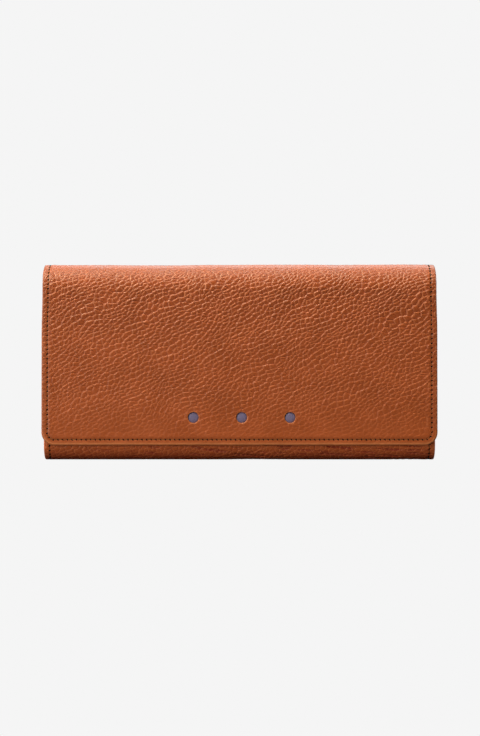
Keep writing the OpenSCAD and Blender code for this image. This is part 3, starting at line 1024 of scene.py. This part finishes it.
# Sections of the hide: name, first and last distance, the body it rides on or the two that it lies between,
# the stretch of the hide that goes with those two (None where it rides on one body, and for the front
# panel's foot, which goes with PANEL_BEND), and the leather and lining nodes that it stands for. No bend is
# made between two bodies.
SECTIONS = (
    ("front", 0.0, S_FOOT, ("front_panel",), None, ("front_leather",), ("front_lining",)),
    ("front_foot", S_FOOT, S_BASE, ("body", "front_panel"), None, ("front_leather",), ("front_lining",)),
    ("back", S_BASE, roll_s(45), ("body", "roll_rear"), (roll_s(0), roll_s(45)),
     ("back_leather", "bottom_leather"), ("back_lining", "bottom_lining")),
    ("roll_rear", roll_s(45), roll_s(90), ("roll_rear", "roll_crown"), (roll_s(45), roll_s(90)),
     ("roll_rear_leather",), ("roll_rear_lining",)),
    ("roll_crown", roll_s(90), roll_s(135), ("roll_crown", "roll_front"), (roll_s(90), roll_s(135)),
     ("roll_crown_leather", "roll_front_leather"), ("roll_crown_lining", "roll_front_lining")),
    ("flap_upper", roll_s(135), S_MIDDLE, ("roll_front", "flap"), (roll_s(135), roll_s(180)),
     ("flap_leather",), ("flap_lining",)),
    ("flap_middle", S_MIDDLE, S_LOWER, ("flap",), None, ("flap_leather",), ("flap_lining",)),
    ("flap_lower", S_LOWER, S_TIP, ("flap",), None, ("flap_leather",), ("flap_lining",)),
)
PLAIN_SECTIONS = ("front", "back", "roll_rear")
PANEL_BEND = ((0, FRONT_Y, BASE_R - 5 * MM), (0, FRONT_Y, BASE_R + 5 * MM))


def bend(piece, bodies, stretch=None):
    """Lets a piece ride on one body; a piece between two bodies only has its transform baked, and no bend is
    made over the stretch of the hide or at PANEL_BEND.
    """
    if len(bodies) == 1:
        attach(piece, bodies[0])
        return
    start, end = (middle_point(stretch[0]), middle_point(stretch[1])) if stretch else PANEL_BEND
    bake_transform(piece)
    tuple(start)
    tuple(end)


def settle(piece, nodes, bodies, stretch=None):
    """Hides the frame nodes that a piece stands for, and lets it ride on its body or bakes its transform, as
    bend does.
    """
    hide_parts(*nodes)
    bend(piece, bodies, stretch)


def section_outline(start, end, shrink=0.0):
    """Plan of a section of the hide, or of its lining when shrunk by the hem."""
    return Outline(
        lambda s: hide_half(s) - shrink,
        start + shrink if start == 0 else start,
        end - shrink if end == S_TIP else end,
        start_corner=PANEL_CORNER if start == 0 else None,
        end_corner=FLAP_CORNER - shrink if end == S_TIP else None,
    )


def dot_centres():
    """X of the three punched holes."""
    return [DOT_MIDDLE + number * DOT_PITCH for number in (-1, 0, 1)]


def hole_rims(x, s):
    """1 at the cut rims of the punched holes, falling off in a third of a millimetre."""
    reach = [np.hypot(x - x0, s - flap_s(DOT_Z)) for x0 in dot_centres()]
    return bell(np.min(reach, 0), DOT_R + 0.15 * MM, 0.3 * MM)


class WALLET_OT_hide(bpy.types.Operator):
    """Makes the outer leather, from the front panel round the base and over the roll to the flap"""

    bl_idname = "wallet.hide"
    bl_label = "Hide"

    def execute(self, context):
        settings = context.scene.wallet_leather

        def top(x, s, inset):
            height = hide_grain(x, s, inset, settings)[0]
            relief = hide_relief(x, s, inset, settings) + height
            on_floor = (s > HIDE.start_of(1)) & (s < S_BACK)
            relief = np.where(on_floor, np.minimum(relief, -0.02 * MM), relief)
            return -PANEL_T / 2 + rounded(inset, PANEL_T) + relief * smooth(0, 0.6 * MM, inset)

        def marks(x, s, inset, is_top):
            _, crease, lip, tone = hide_grain(x, s, inset, settings)
            low_edge = smooth(S_TIP - 9 * MM, S_TIP - 2 * MM, s)
            rub = (0.15 + 0.75 * low_edge) * (1 - smooth(0.6 * MM, 1.9 * MM, inset))
            # The edge mark: rub wear along the edges, and painted highlight on the pebbles' upper lips and
            # round the punched holes' rims.
            edge = np.clip(rub + lip + 0.5 * hole_rims(x, s), 0, 1) * is_top
            grain = grain_strength(s, inset, settings) * is_top
            # Painted shade: the band outside the stitching, along the sides and the front panel's top edge,
            # is made 12% darker.
            border = (1 - low_edge) * (1 - smooth(1.6 * MM, 2.8 * MM, inset))
            # Painted light: the front panel is made lighter towards its foot and round the base, where it
            # lies in the flap's shadow at rest.
            foot = smooth(S_FOOT - 45 * MM, S_FOOT + 6 * MM, s) * (s < S_BACK)
            tone = tone * (1 - 0.12 * border) * (1 + 0.75 * foot)
            return {"grain": grain, "crease": crease * is_top, "tone": tone, "edge": edge}

        for name, start, end, bodies, stretch, nodes, _ in SECTIONS:
            steps = PLAIN_STEPS if name in PLAIN_SECTIONS else FINE_STEPS
            sheet = Sheet(HIDE, section_outline(start, end), top, hide_bottom, steps)
            if name == "flap_lower":
                for x in dot_centres():
                    sheet.punch(x, flap_s(DOT_Z), DOT_R, HIDE_T, DOT_R + 1.6 * MM)
            piece = sheet.piece(name + "_hide", pebbled_tan_leather(settings), marks)
            settle(piece, nodes, bodies, stretch)
        return {"FINISHED"}


class WALLET_OT_linings(bpy.types.Operator):
    """Makes the linings, let into the inside of the hide, and the domed discs in the punched holes"""

    bl_idname = "wallet.linings"
    bl_label = "Linings and discs"

    def execute(self, context):
        settings = context.scene.wallet_leather
        middle = -HIDE_T - LINING_T / 2

        def top(x, s, inset):
            return middle + rounded(inset, LINING_T)

        def bottom(x, s, inset):
            groove = 0.12 * MM * bell(inset, settings.stitch_inset - HEM, 0.4 * MM)
            return middle - rounded(inset, LINING_T) + groove * smooth(0, 0.5 * MM, inset)

        for name, start, end, bodies, stretch, _, nodes in SECTIONS:
            outline = section_outline(start, end, HEM + 0.05 * MM)
            steps = (5 * MM, 0.9 * MM if "roll" in name else 3 * MM)
            sheet = Sheet(HIDE, outline, top, bottom, steps=steps, band=3 * MM, count=10)
            piece = sheet.piece(name + "_lining_leather", lavender_lining_leather(settings))
            settle(piece, nodes, bodies, stretch)
        self.discs(settings)
        return {"FINISHED"}

    def discs(self, settings):
        """Three flat-topped domes: rings of points r sin(a) and r cos(a), whose height falls off as r^4."""
        share = np.array([0.02, 0.3, 0.55, 0.75, 0.88, 0.96, 1.0, 1.0])
        height = np.append(0.34 * (1 - share[:-1] ** 4), -0.35) * MM
        angle = np.linspace(0, 2 * math.pi, 41)[:-1]
        radius = (DOT_R - 0.04 * MM) * share[:, None]
        seat_y = -ROLL_R + 0.66 * MM
        x = np.reshape(dot_centres(), (-1, 1, 1)) + radius * np.sin(angle)
        z = DOT_Z + radius * np.cos(angle)
        points = joined(x, (seat_y - height)[:, None], z)
        faces = closed_faces(len(share), len(angle), len(points))
        material = lavender_lining_leather(settings)
        piece = make_piece("punched_hole_discs", points, faces, material, points[..., (0, 2)])
        settle(piece, ("dot_inlays",), ("flap",))


# ---- Stitching ----


def resample(line, pitch):
    """Points at an even pitch along a line of points, and the unit direction of the line at each.

    The distance along the line is summed from point to point, and every coordinate is interpolated over it.
    """
    step = np.linalg.norm(np.diff(line, axis=0), axis=1)
    along = np.concatenate([[0], np.cumsum(step)])
    count = max(2, round(along[-1] / pitch))
    wanted = (np.arange(count) + 0.5) * along[-1] / count
    at, ahead = (
        joined(*(np.interp(place, along, axis) for axis in line.T)) for place in (wanted, wanted + pitch / 8)
    )
    direction = ahead - at
    return at, direction / (np.linalg.norm(direction, axis=1, keepdims=True) + 1e-12)


# Rings of a stitch's thread and of a needle hole, the corners of a ring, and how far a stitch leans.
THREAD_RINGS, THREAD_CORNERS = 7, 6
HOLE_RINGS, HOLE_CORNERS = 4, 8
STITCH_LEAN = 0.16


def stitch_points(centre, along, out, settings):
    """Vertices, faces, UV map and hole mark of a row of stitches, each with the needle hole at its end.

    A stitch is a round bar along its direction, with radius r (1 - l^4)^(1/2) over -1 < l < 1 and its
    middle line bent down as l^2 into the holes. A hole is a low dark dome, stretched and turned aslant,
    whose near-black colour is painted shade for the shadow down the needle hole.
    """
    side = np.cross(out, along)
    turned = along * math.cos(STITCH_LEAN) + side * math.sin(STITCH_LEAN)
    across = np.cross(out, turned)
    reach, radius, pitch = 0.37 * settings.stitch_pitch, settings.thread_width / 2, settings.stitch_pitch
    l = np.linspace(-1, 1, THREAD_RINGS)[:, None]
    around = np.arange(THREAD_CORNERS) * math.pi / 3
    thick = radius * np.sqrt(1 - (0.985 * l) ** 4)
    sunk = 0.42 * radius + 1.1 * radius * l**2
    thread = joined(l * reach, thick * np.cos(around), thick * np.sin(around) - sunk)
    share = np.array([1.0, 1.0, 0.72, 0.05])[:, None]
    rise = np.array([-0.25, 0.0, 0.07, 0.09])[:, None] * MM
    corner = np.arange(HOLE_CORNERS) * math.pi / 4
    wide, narrow, lean = 0.62 * MM, 0.38 * MM, -1.05
    u, v = wide * share * np.cos(corner), narrow * share * np.sin(corner)
    hole = joined(
        pitch / 2 + u * math.cos(lean) - v * math.sin(lean), u * math.sin(lean) + v * math.cos(lean), rise
    )
    count = len(centre)
    points = []
    for first, second, shape in ((turned, across, thread), (along, side, hole)):
        u, v, w = shape.reshape(-1, 3, 1).transpose(1, 0, 2)
        placed = centre[:, None] + first[:, None] * u + second[:, None] * v + out[:, None] * w
        points.append(placed.reshape(-1, 3))
    threads, holes = points
    faces = closed_faces(THREAD_RINGS, THREAD_CORNERS, count)
    faces += closed_faces(HOLE_RINGS, HOLE_CORNERS, count, len(threads))
    thread_map = joined(l * reach, radius * around).reshape(-1, 2)
    uv = np.concatenate([np.tile(thread_map, (count, 1)), np.zeros((len(holes), 2))])
    mark = np.repeat([0.0, 1.0], [len(threads), len(holes)])
    return np.concatenate([threads, holes]), faces, uv, mark


def stitching(name, centre, along, out, settings):
    """A piece of stitching at centres on a surface, with its directions and the surface's normals."""
    points, faces, uv, hole = stitch_points(centre, along, out, settings)
    piece = make_piece(name, points, faces, waxed_thread(settings), uv, {"hole": hole})
    return piece


def on_path(path, at, direction, offset):
    """Centres, directions and normals in space for stitches at places (x, s) on a path."""
    x, s = at.T
    centre = path.place(x, s, offset)
    ahead = path.place(x + 0.1 * MM * direction[:, 0], s + 0.1 * MM * direction[:, 1], offset)
    along = ahead - centre
    along /= np.linalg.norm(along, axis=1, keepdims=True)
    _, _, ny, nz = path.at(s)
    return centre, along, joined(0.0, ny, nz)


def corner_arc(x0, s0, radius, start, end):
    """Points of an arc in the plane of x and s, from one angle to another in degrees."""
    angle = np.radians(np.linspace(start, end, 12))
    return joined(x0 + radius * np.cos(angle), s0 + radius * np.sin(angle))


def hide_stitch_line(settings):
    """The stitching's closed line: down both sides, round the flap's corners, across the flap and panel."""
    inset = settings.stitch_inset
    corner = FLAP_CORNER - inset
    s = np.linspace(inset, S_TIP - FLAP_CORNER, 400)
    left = joined(-(hide_half(s) - inset), s)
    corner_x, corner_s = FLAP_HALF - FLAP_CORNER, S_TIP - FLAP_CORNER
    first = corner_arc(-corner_x, corner_s, corner, 180, 90)
    second = corner_arc(corner_x, corner_s, corner, 90, 0)
    right = left[::-1] * (-1, 1)
    return np.concatenate([left, first[1:], second, right[1:], left[:1]])


class WALLET_OT_stitching(bpy.types.Operator):
    """Sews the outer leather to the lining all round, with the thread showing outside and inside"""

    bl_idname = "wallet.stitching"
    bl_label = "Stitching"

    def execute(self, context):
        settings = context.scene.wallet_leather
        at, direction = resample(hide_stitch_line(settings), settings.stitch_pitch)
        x, s = at.T
        outer = hide_relief(x, s, np.full(len(s), settings.stitch_inset), settings) + 0.10 * MM
        for side, offset, facing in (("outer", outer, 1), ("inner", -PANEL_T + 0.06 * MM, -1)):
            centre, along, out = on_path(HIDE, at, direction, offset)
            for name, start, end, bodies, stretch, _, _ in SECTIONS:
                here = (s >= start) & (s < end)
                row = (centre[here], along[here], facing * out[here])
                bend(stitching(f"{name}_{side}_stitching", *row, settings), bodies, stretch)
        return {"FINISHED"}


# ---- Card slots, gussets and coin pocket ----


def flat_sheet(name, path, outline, thickness, material, crease=None):
    """A flat leather sheet with round edges, a pressed line inside its edge and, if given, a crease."""

    def top(x, s, inset):
        line = -0.06 * MM * bell(inset, 1.1 * MM, 0.2 * MM)
        extra = crease(x, s) if crease else 0
        return -thickness / 2 + rounded(inset, thickness) + (line + extra) * smooth(0, 0.4 * MM, inset)

    def bottom(x, s, inset):
        return -thickness / 2 - rounded(inset, thickness)

    sheet = Sheet(path, outline, top, bottom, steps=(5 * MM, 2 * MM), band=2 * MM, count=12)
    return sheet.piece(name, material)


def sewn_sheet(node, body, facing, settings, runs_for, crease_for=None):
    """A lavender sheet in place of a flat node that faces along -Y or +Y, sewn along runs of points.

    The path runs down the front or up the rear of the node. The runs and the crease are made from the
    sheet's half width and its length.
    """
    (_, y0, z0), (half, y1, z1) = low(node), high(node)
    length = z1 - z0
    start, heading = ((y0, z1), -90) if facing < 0 else ((y1, z0), 90)
    path = SectionPath(start, heading, [(length, 0)])
    outline = Outline(lambda s: np.full(np.shape(s), half), 0.0, length, 1.5 * MM, 1.5 * MM)
    crease = crease_for(length) if crease_for else None
    material = lavender_lining_leather(settings)
    piece = flat_sheet(node + "_leather", path, outline, y1 - y0, material, crease)
    settle(piece, (node,), (body,))
    rows = [resample(run, settings.stitch_pitch) for run in runs_for(half, length)]
    at, direction = (np.concatenate(parts) for parts in zip(*rows))
    centre, along, out = on_path(path, at, direction, 0.02 * MM)
    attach(stitching(node + "_stitching", centre, along, out, settings), body)


class WALLET_OT_card_slots(bpy.types.Operator):
    """Makes the card slots: stepped sheets with pressed tops, sewn at both sides and down the middle"""

    bl_idname = "wallet.card_slots"
    bl_label = "Card slots"

    def execute(self, context):
        settings = context.scene.wallet_leather
        for side, body, facing in (("rear", "body", -1), ("front", "front_panel", 1)):
            nodes = [f"{side}_card_slot_{number}" for number in (1, 2, 3)]
            lowers = [high(node)[2] for node in nodes[1:]] + [low(nodes[2])[2] + 1.5 * MM]
            for node, lower in zip(nodes, lowers):
                self.slot(settings, node, body, facing, lower)
        return {"FINISHED"}

    def slot(self, settings, node, body, facing, lower):
        """One slot, whose seams run from near its top edge down to a height just above the next one."""

        def runs_for(half, length):
            drop = np.array([0.6 * MM, high(node)[2] - lower - 0.6 * MM])
            s = drop if facing < 0 else length - drop
            return [joined(x, s) for x in (-half + 1.8 * MM, 0.0, half - 1.8 * MM)]

        def crease_for(length):
            def dip(x, s):
                drop = s if facing < 0 else length - s
                return -0.05 * MM * (bell(drop, 2.6 * MM, 0.22 * MM) + bell(x, 0, 0.5 * MM))

            return dip

        sewn_sheet(node, body, facing, settings, runs_for, crease_for)


def gusset_surface(side, top_z, foot_z):
    """Middle surface of a gusset: a V-shaped fold that points inwards, between the back and front panel.

    Across it runs u from -1 at the back to 1 at the front, with the depth d(z) (1 - (u^2 + e^2)^(1/2))
    inwards, which rounds the fold, and beyond |u| = 1 lies a short flange along the panel. The depth grows
    upwards.
    """
    ease, rows, columns_across = 0.08, 36, 33
    z = np.linspace(foot_z, top_z, rows)[:, None]
    depth = GUSSET_FOOT + (GUSSET_TOP - GUSSET_FOOT) * (z - foot_z) / (top_z - foot_z)
    sweep = np.sin(np.linspace(-math.pi / 2, math.pi / 2, columns_across))
    u = np.concatenate([[-1, -1, -1], sweep, [1, 1, 1]])
    flange = np.concatenate([[0.9, 0.6, 0.3], np.zeros(columns_across), [0.3, 0.6, 0.9]]) * MM
    bend_in = 1 - (np.sqrt(u**2 + ease**2) - ease) / (math.sqrt(1 + ease**2) - ease)
    x = GUSSET_X + flange - depth * bend_in
    middle, reach = (GUSSET_REAR_Y + GUSSET_FRONT_Y) / 2, (GUSSET_FRONT_Y - GUSSET_REAR_Y) / 2
    return joined(side * x, middle + reach * u, z)


def thick_sheet(name, middle, thickness, material):
    """A closed sheet round a middle surface: half the thickness to either side along the normal.

    The normal is the cross product of the surface's two slopes. Towards the rim the thickness rounds off.
    """
    down, across = np.gradient(middle, axis=0), np.gradient(middle, axis=1)
    normal = np.cross(down, across)
    normal /= np.linalg.norm(normal, axis=-1, keepdims=True)
    rows = np.cumsum(np.linalg.norm(down, axis=-1), axis=0)
    cols = np.cumsum(np.linalg.norm(across, axis=-1), axis=1)
    row_edge = np.minimum(rows - rows[:1], rows[-1:] - rows)
    column_edge = np.minimum(cols - cols[:, :1], cols[:, -1:] - cols)
    half = rounded(np.minimum(row_edge, column_edge), thickness)
    shift = normal * np.maximum(half, 0.25 * thickness)[..., None]
    return shell_piece(name, middle + shift, middle - shift, material, joined(cols, rows))


class WALLET_OT_gussets(bpy.types.Operator):
    """Makes the two folded gussets that join the front panel to the back"""

    bl_idname = "wallet.gussets"
    bl_label = "Gussets"

    def execute(self, context):
        material = smooth_tan_leather(context.scene.wallet_leather)
        lowest, highest = low("gusset_rear_right")[2], high("gusset_rear_right")[2]
        thickness = 0.8 * MM
        for side, name in ((-1, "left"), (1, "right")):
            middle = gusset_surface(side, highest, lowest)
            piece = thick_sheet(f"gusset_{name}_leather", middle, thickness, material)
            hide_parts(f"gusset_rear_{name}", f"gusset_front_{name}")
            start, end = (0, GUSSET_REAR_Y, 0), (0, GUSSET_FRONT_Y, 0)
            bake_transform(piece)
            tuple(start)
            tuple(end)
        return {"FINISHED"}


class WALLET_OT_coin_pocket(bpy.types.Operator):
    """Makes the coin pocket's two walls, each sewn all round"""

    bl_idname = "wallet.coin_pocket"
    bl_label = "Coin pocket"

    def execute(self, context):
        settings = context.scene.wallet_leather

        def runs_for(half, length):
            inset = 2.2 * MM
            x, s0, s1 = half - inset, inset, length - inset
            return [np.array([(-x, s0), (-x, s1), (x, s1), (x, s0), (-x, s0)])]

        for side, facing in (("front", -1), ("rear", 1)):
            sewn_sheet(f"pocket_{side}_wall", "coin_pocket", facing, settings, runs_for)
        return {"FINISHED"}


# ---- Zip and kept parts ----


def merged_copy(node):
    """The mesh of a frame node with its loose triangles joined up."""
    source = bpy.data.objects[node]
    mesh = source.data.copy()
    shape = bmesh.new()
    shape.from_mesh(mesh)
    bmesh.ops.remove_doubles(shape, verts=shape.verts, dist=1e-6)
    bmesh.ops.dissolve_limit(shape, angle_limit=math.radians(1), verts=shape.verts, edges=shape.edges)
    bmesh.ops.recalc_face_normals(shape, faces=shape.faces)
    shape.to_mesh(mesh)
    shape.free()
    return mesh


def eased_copy(node, name, width, body, material):
    """A copy of a metal frame node with its sharp edges rounded by a bevel, standing in for the node."""
    mesh = merged_copy(node)
    mesh.materials.clear()
    mesh.materials.append(material)
    piece = bpy.data.objects.new(name, mesh)
    bpy.context.scene.collection.objects.link(piece)
    easing = piece.modifiers.new("eased edges", "BEVEL")
    easing.width, easing.segments, easing.limit_method = width, 2, "ANGLE"
    easing.angle_limit, easing.harden_normals = math.radians(35), False
    settle(piece, (node,), (body,))


def signed_power(value, power):
    """A power of the value's size, with the value's sign."""
    return np.sign(value) * np.abs(value) ** power


class WALLET_OT_zip(bpy.types.Operator):
    """Makes the zip's interlocking teeth, and rounds the metal of its stops, slider and pull"""

    bl_idname = "wallet.zip"
    bl_label = "Zip"

    def execute(self, context):
        settings = context.scene.wallet_zip
        brass = zip_brass(settings)
        for row in ("front", "rear"):
            self.teeth(settings, row, brass)
        eased_copy("zip_stops", "zip_end_stops", 0.15 * MM, "coin_pocket", brass)
        eased_copy("zip_slider", "zip_slider_body", 0.18 * MM, "zip_slider", brass)
        eased_copy("zip_pull", "zip_pull_tab", 0.15 * MM, "zip_pull", brass)
        return {"FINISHED"}

    def teeth(self, settings, row, material):
        """One row of superellipsoids: a sphere's coordinates, each raised to a power below 1 and scaled."""
        node = "zip_teeth_" + row
        lowest, highest = low(node), high(node)
        middle, half = (lowest + highest) / 2, (highest - lowest) / 2
        half[0] = 0.5 * MM
        lat = np.radians(np.array([-89, -55, -25, 25, 55, 89]))[:, None]
        lon = np.radians(np.arange(0, 360, 36))
        out_lat, up = signed_power(np.cos(lat), 0.45), signed_power(np.sin(lat), 0.45)
        sphere = (out_lat * signed_power(np.cos(lon), 0.45), out_lat * signed_power(np.sin(lon), 0.45), up)
        shape = half * joined(*sphere)
        count = round((highest[0] - lowest[0] - 2 * half[0]) / settings.tooth_pitch) + 1
        x = lowest[0] + half[0] + settings.tooth_pitch * np.arange(count)
        points = joined(x, middle[1], middle[2])[:, None] + shape.reshape(-1, 3)
        faces = closed_faces(len(lat), len(lon), count)
        piece = make_piece(f"zip_{row}_tooth_row", points, faces, material)
        settle(piece, (node,), ("coin_pocket",))


class WALLET_OT_kept_parts(bpy.types.Operator):
    """Gives the frame's own parts that stay as they are their card, steel, leather, cloth and brass"""

    bl_idname = "wallet.kept_parts"
    bl_label = "Kept parts"

    def execute(self, context):
        leather, zip_parts = context.scene.wallet_leather, context.scene.wallet_zip
        finishes = (
            (stiffener_card(leather), ("back_board", "front_board", "flap_board")),
            (magnet_steel(leather), ("flap_magnet", "front_magnet")),
            (woven_tape(zip_parts), ("zip_tape_front", "zip_tape_rear")),
            (zip_brass(zip_parts), ("zip_pull_pin",)),
            (plain_tan_leather(leather), ("gusset_feet", "pocket_anchor", "pocket_edge_strip")),
        )
        for material, nodes in finishes:
            for node in nodes:
                for slot in bpy.data.objects[node].material_slots:
                    slot.material = material
        return {"FINISHED"}


# ---- Stage ----


class WALLET_OT_stage(bpy.types.Operator):
    """Sets up the pale floor, the soft lamps and the level camera"""

    bl_idname = "wallet.stage"
    bl_label = "Stage"

    def execute(self, context):
        scene, stage = context.scene, context.scene.wallet_stage
        scene.view_settings.view_transform = "Standard"
        self.floor(stage)
        self.world(scene)
        warm, mild = (1.0, 0.97, 0.82), (1.0, 0.98, 0.88)
        self.lamp("top_lamp", (-0.42, -0.54, 0.98), (0, -0.01, 0.06), 0.5, stage.top_light, warm)
        self.lamp("crown_lamp", (-0.15, -0.26, 1.12), (0, 0, 0.09), 0.8, stage.crown_light, mild)
        self.lamp("back_lamp", (0.10, 0.62, 0.85), (0, 0, 0.06), 0.7, stage.back_light)
        self.lamp("fill_lamp", (-1.0, -1.2, 0.25), (0, -0.01, 0.05), 0.9, stage.fill_light)
        for side, name in ((-1, "left"), (1, "right")):
            self.lamp(name + "_side_lamp", (side * 1.2, 0.55, 0.4), (0, 0, 0.05), 0.8, stage.side_light)
        self.camera(scene, stage)
        return {"FINISHED"}

    def floor(self, stage):
        """A pale floor that curves up into a backdrop: a profile of radius and height, turned round."""
        material, tree, shader = start_material("pale_floor", 0.9, Specular_IOR_Level=0.0)
        place = new_node(tree, "ShaderNodeTexCoord")
        cloud = new_node(tree, "ShaderNodeTexNoise", {"Scale": 3.0})
        link(tree, place, "Object", cloud, "Vector")
        paint(tree, shader, (cloud, "Fac"), (0.10, 0.10, 0.10), (0.12, 0.12, 0.12))
        path = new_node(tree, "ShaderNodeLightPath")
        glow = new_node(tree, "ShaderNodeEmission", {"Color": (stage.backdrop,) * 3 + (1.0,)})
        shown = new_node(tree, "ShaderNodeMixShader")
        link(tree, path, "Is Camera Ray", shown, 0)
        link(tree, shader, 0, shown, 1)
        link(tree, glow, 0, shown, 2)
        link(tree, shown, 0, tree.nodes["Material Output"], "Surface")
        angle = np.linspace(0, 2 * math.pi, 97)[:-1]
        turn = np.linspace(0, math.pi / 2, 13)
        radius = np.concatenate([[0.001, 1.0], 3.0 + 1.0 * np.sin(turn), [4.0]])[:, None]
        height = np.concatenate([[0, 0], 1.0 - 1.0 * np.cos(turn), [6.0]])[:, None]
        points = joined(radius * np.cos(angle), radius * np.sin(angle), height)
        faces = loop_faces(len(radius), len(angle)).tolist() + [list(range(len(angle)))]
        floor = make_piece("floor", points, faces, material)
        floor.visible_shadow = False

    def world(self, scene):
        """Dim even light from all round."""
        world = bpy.data.worlds.new("studio")
        world.use_nodes = True
        scene.world = world
        world.node_tree.nodes["Background"].inputs["Color"].default_value = (0.16, 0.16, 0.17, 1)

    def lamp(self, name, place, target, size, power, colour=(1.0, 1.0, 1.0)):
        """A square area lamp that looks at a target."""
        data = bpy.data.lights.new(name, "AREA")
        data.size, data.energy, data.color = size, power, colour
        lamp = bpy.data.objects.new(name, data)
        lamp.location = place
        lamp.rotation_euler = (Vector(target) - Vector(place)).to_track_quat("-Z", "Y").to_euler()
        bpy.context.scene.collection.objects.link(lamp)

    def camera(self, scene, stage):
        """A level camera in front of the flap, whose lens shows the frame's height there."""
        data = bpy.data.cameras.new("camera")
        data.sensor_width = 36.0
        data.lens = data.sensor_width * stage.camera_distance / stage.frame_height
        camera = bpy.data.objects.new("camera", data)
        camera.location = (0.25 * MM, -ROLL_R - stage.camera_distance, stage.camera_height)
        camera.rotation_euler = (math.pi / 2, 0, 0)
        scene.collection.objects.link(camera)
        scene.camera = camera


class WALLET_PT_panel(bpy.types.Panel):
    """Sidebar panel with the wallet's settings and its operators"""

    bl_idname = "WALLET_PT_panel"
    bl_label = "Long Wallet"
    bl_space_type = "VIEW_3D"
    bl_region_type = "UI"
    bl_category = "Wallet"

    def draw(self, context):
        scene = context.scene
        for settings in (scene.wallet_leather, scene.wallet_zip, scene.wallet_stage):
            for name in settings.bl_rna.properties.keys():
                if name not in ("rna_type", "name"):
                    self.layout.prop(settings, name)
        for operator in OPERATORS:
            self.layout.operator(operator.bl_idname)


OPERATORS = (
    WALLET_OT_stage,
    WALLET_OT_hide,
    WALLET_OT_linings,
    WALLET_OT_stitching,
    WALLET_OT_card_slots,
    WALLET_OT_gussets,
    WALLET_OT_coin_pocket,
    WALLET_OT_zip,
    WALLET_OT_kept_parts,
)
CLASSES = (LeatherSettings, ZipSettings, StageSettings, *OPERATORS, WALLET_PT_panel)


def register():
    """Registers the classes and gives the scene their settings."""
    for cls in CLASSES:
        bpy.utils.register_class(cls)
    bpy.types.Scene.wallet_leather = PointerProperty(type=LeatherSettings)
    bpy.types.Scene.wallet_zip = PointerProperty(type=ZipSettings)
    bpy.types.Scene.wallet_stage = PointerProperty(type=StageSettings)


def unregister():
    """Takes the settings and the classes away again."""
    del bpy.types.Scene.wallet_stage
    del bpy.types.Scene.wallet_zip
    del bpy.types.Scene.wallet_leather
    for cls in reversed(CLASSES):
        bpy.utils.unregister_class(cls)


def main():
    """Makes the whole wallet and its stage."""
    register()
    for operator in OPERATORS:
        group, name = operator.bl_idname.split(".")
        getattr(getattr(bpy.ops, group), name)()


if __name__ == "__main__":
    main()
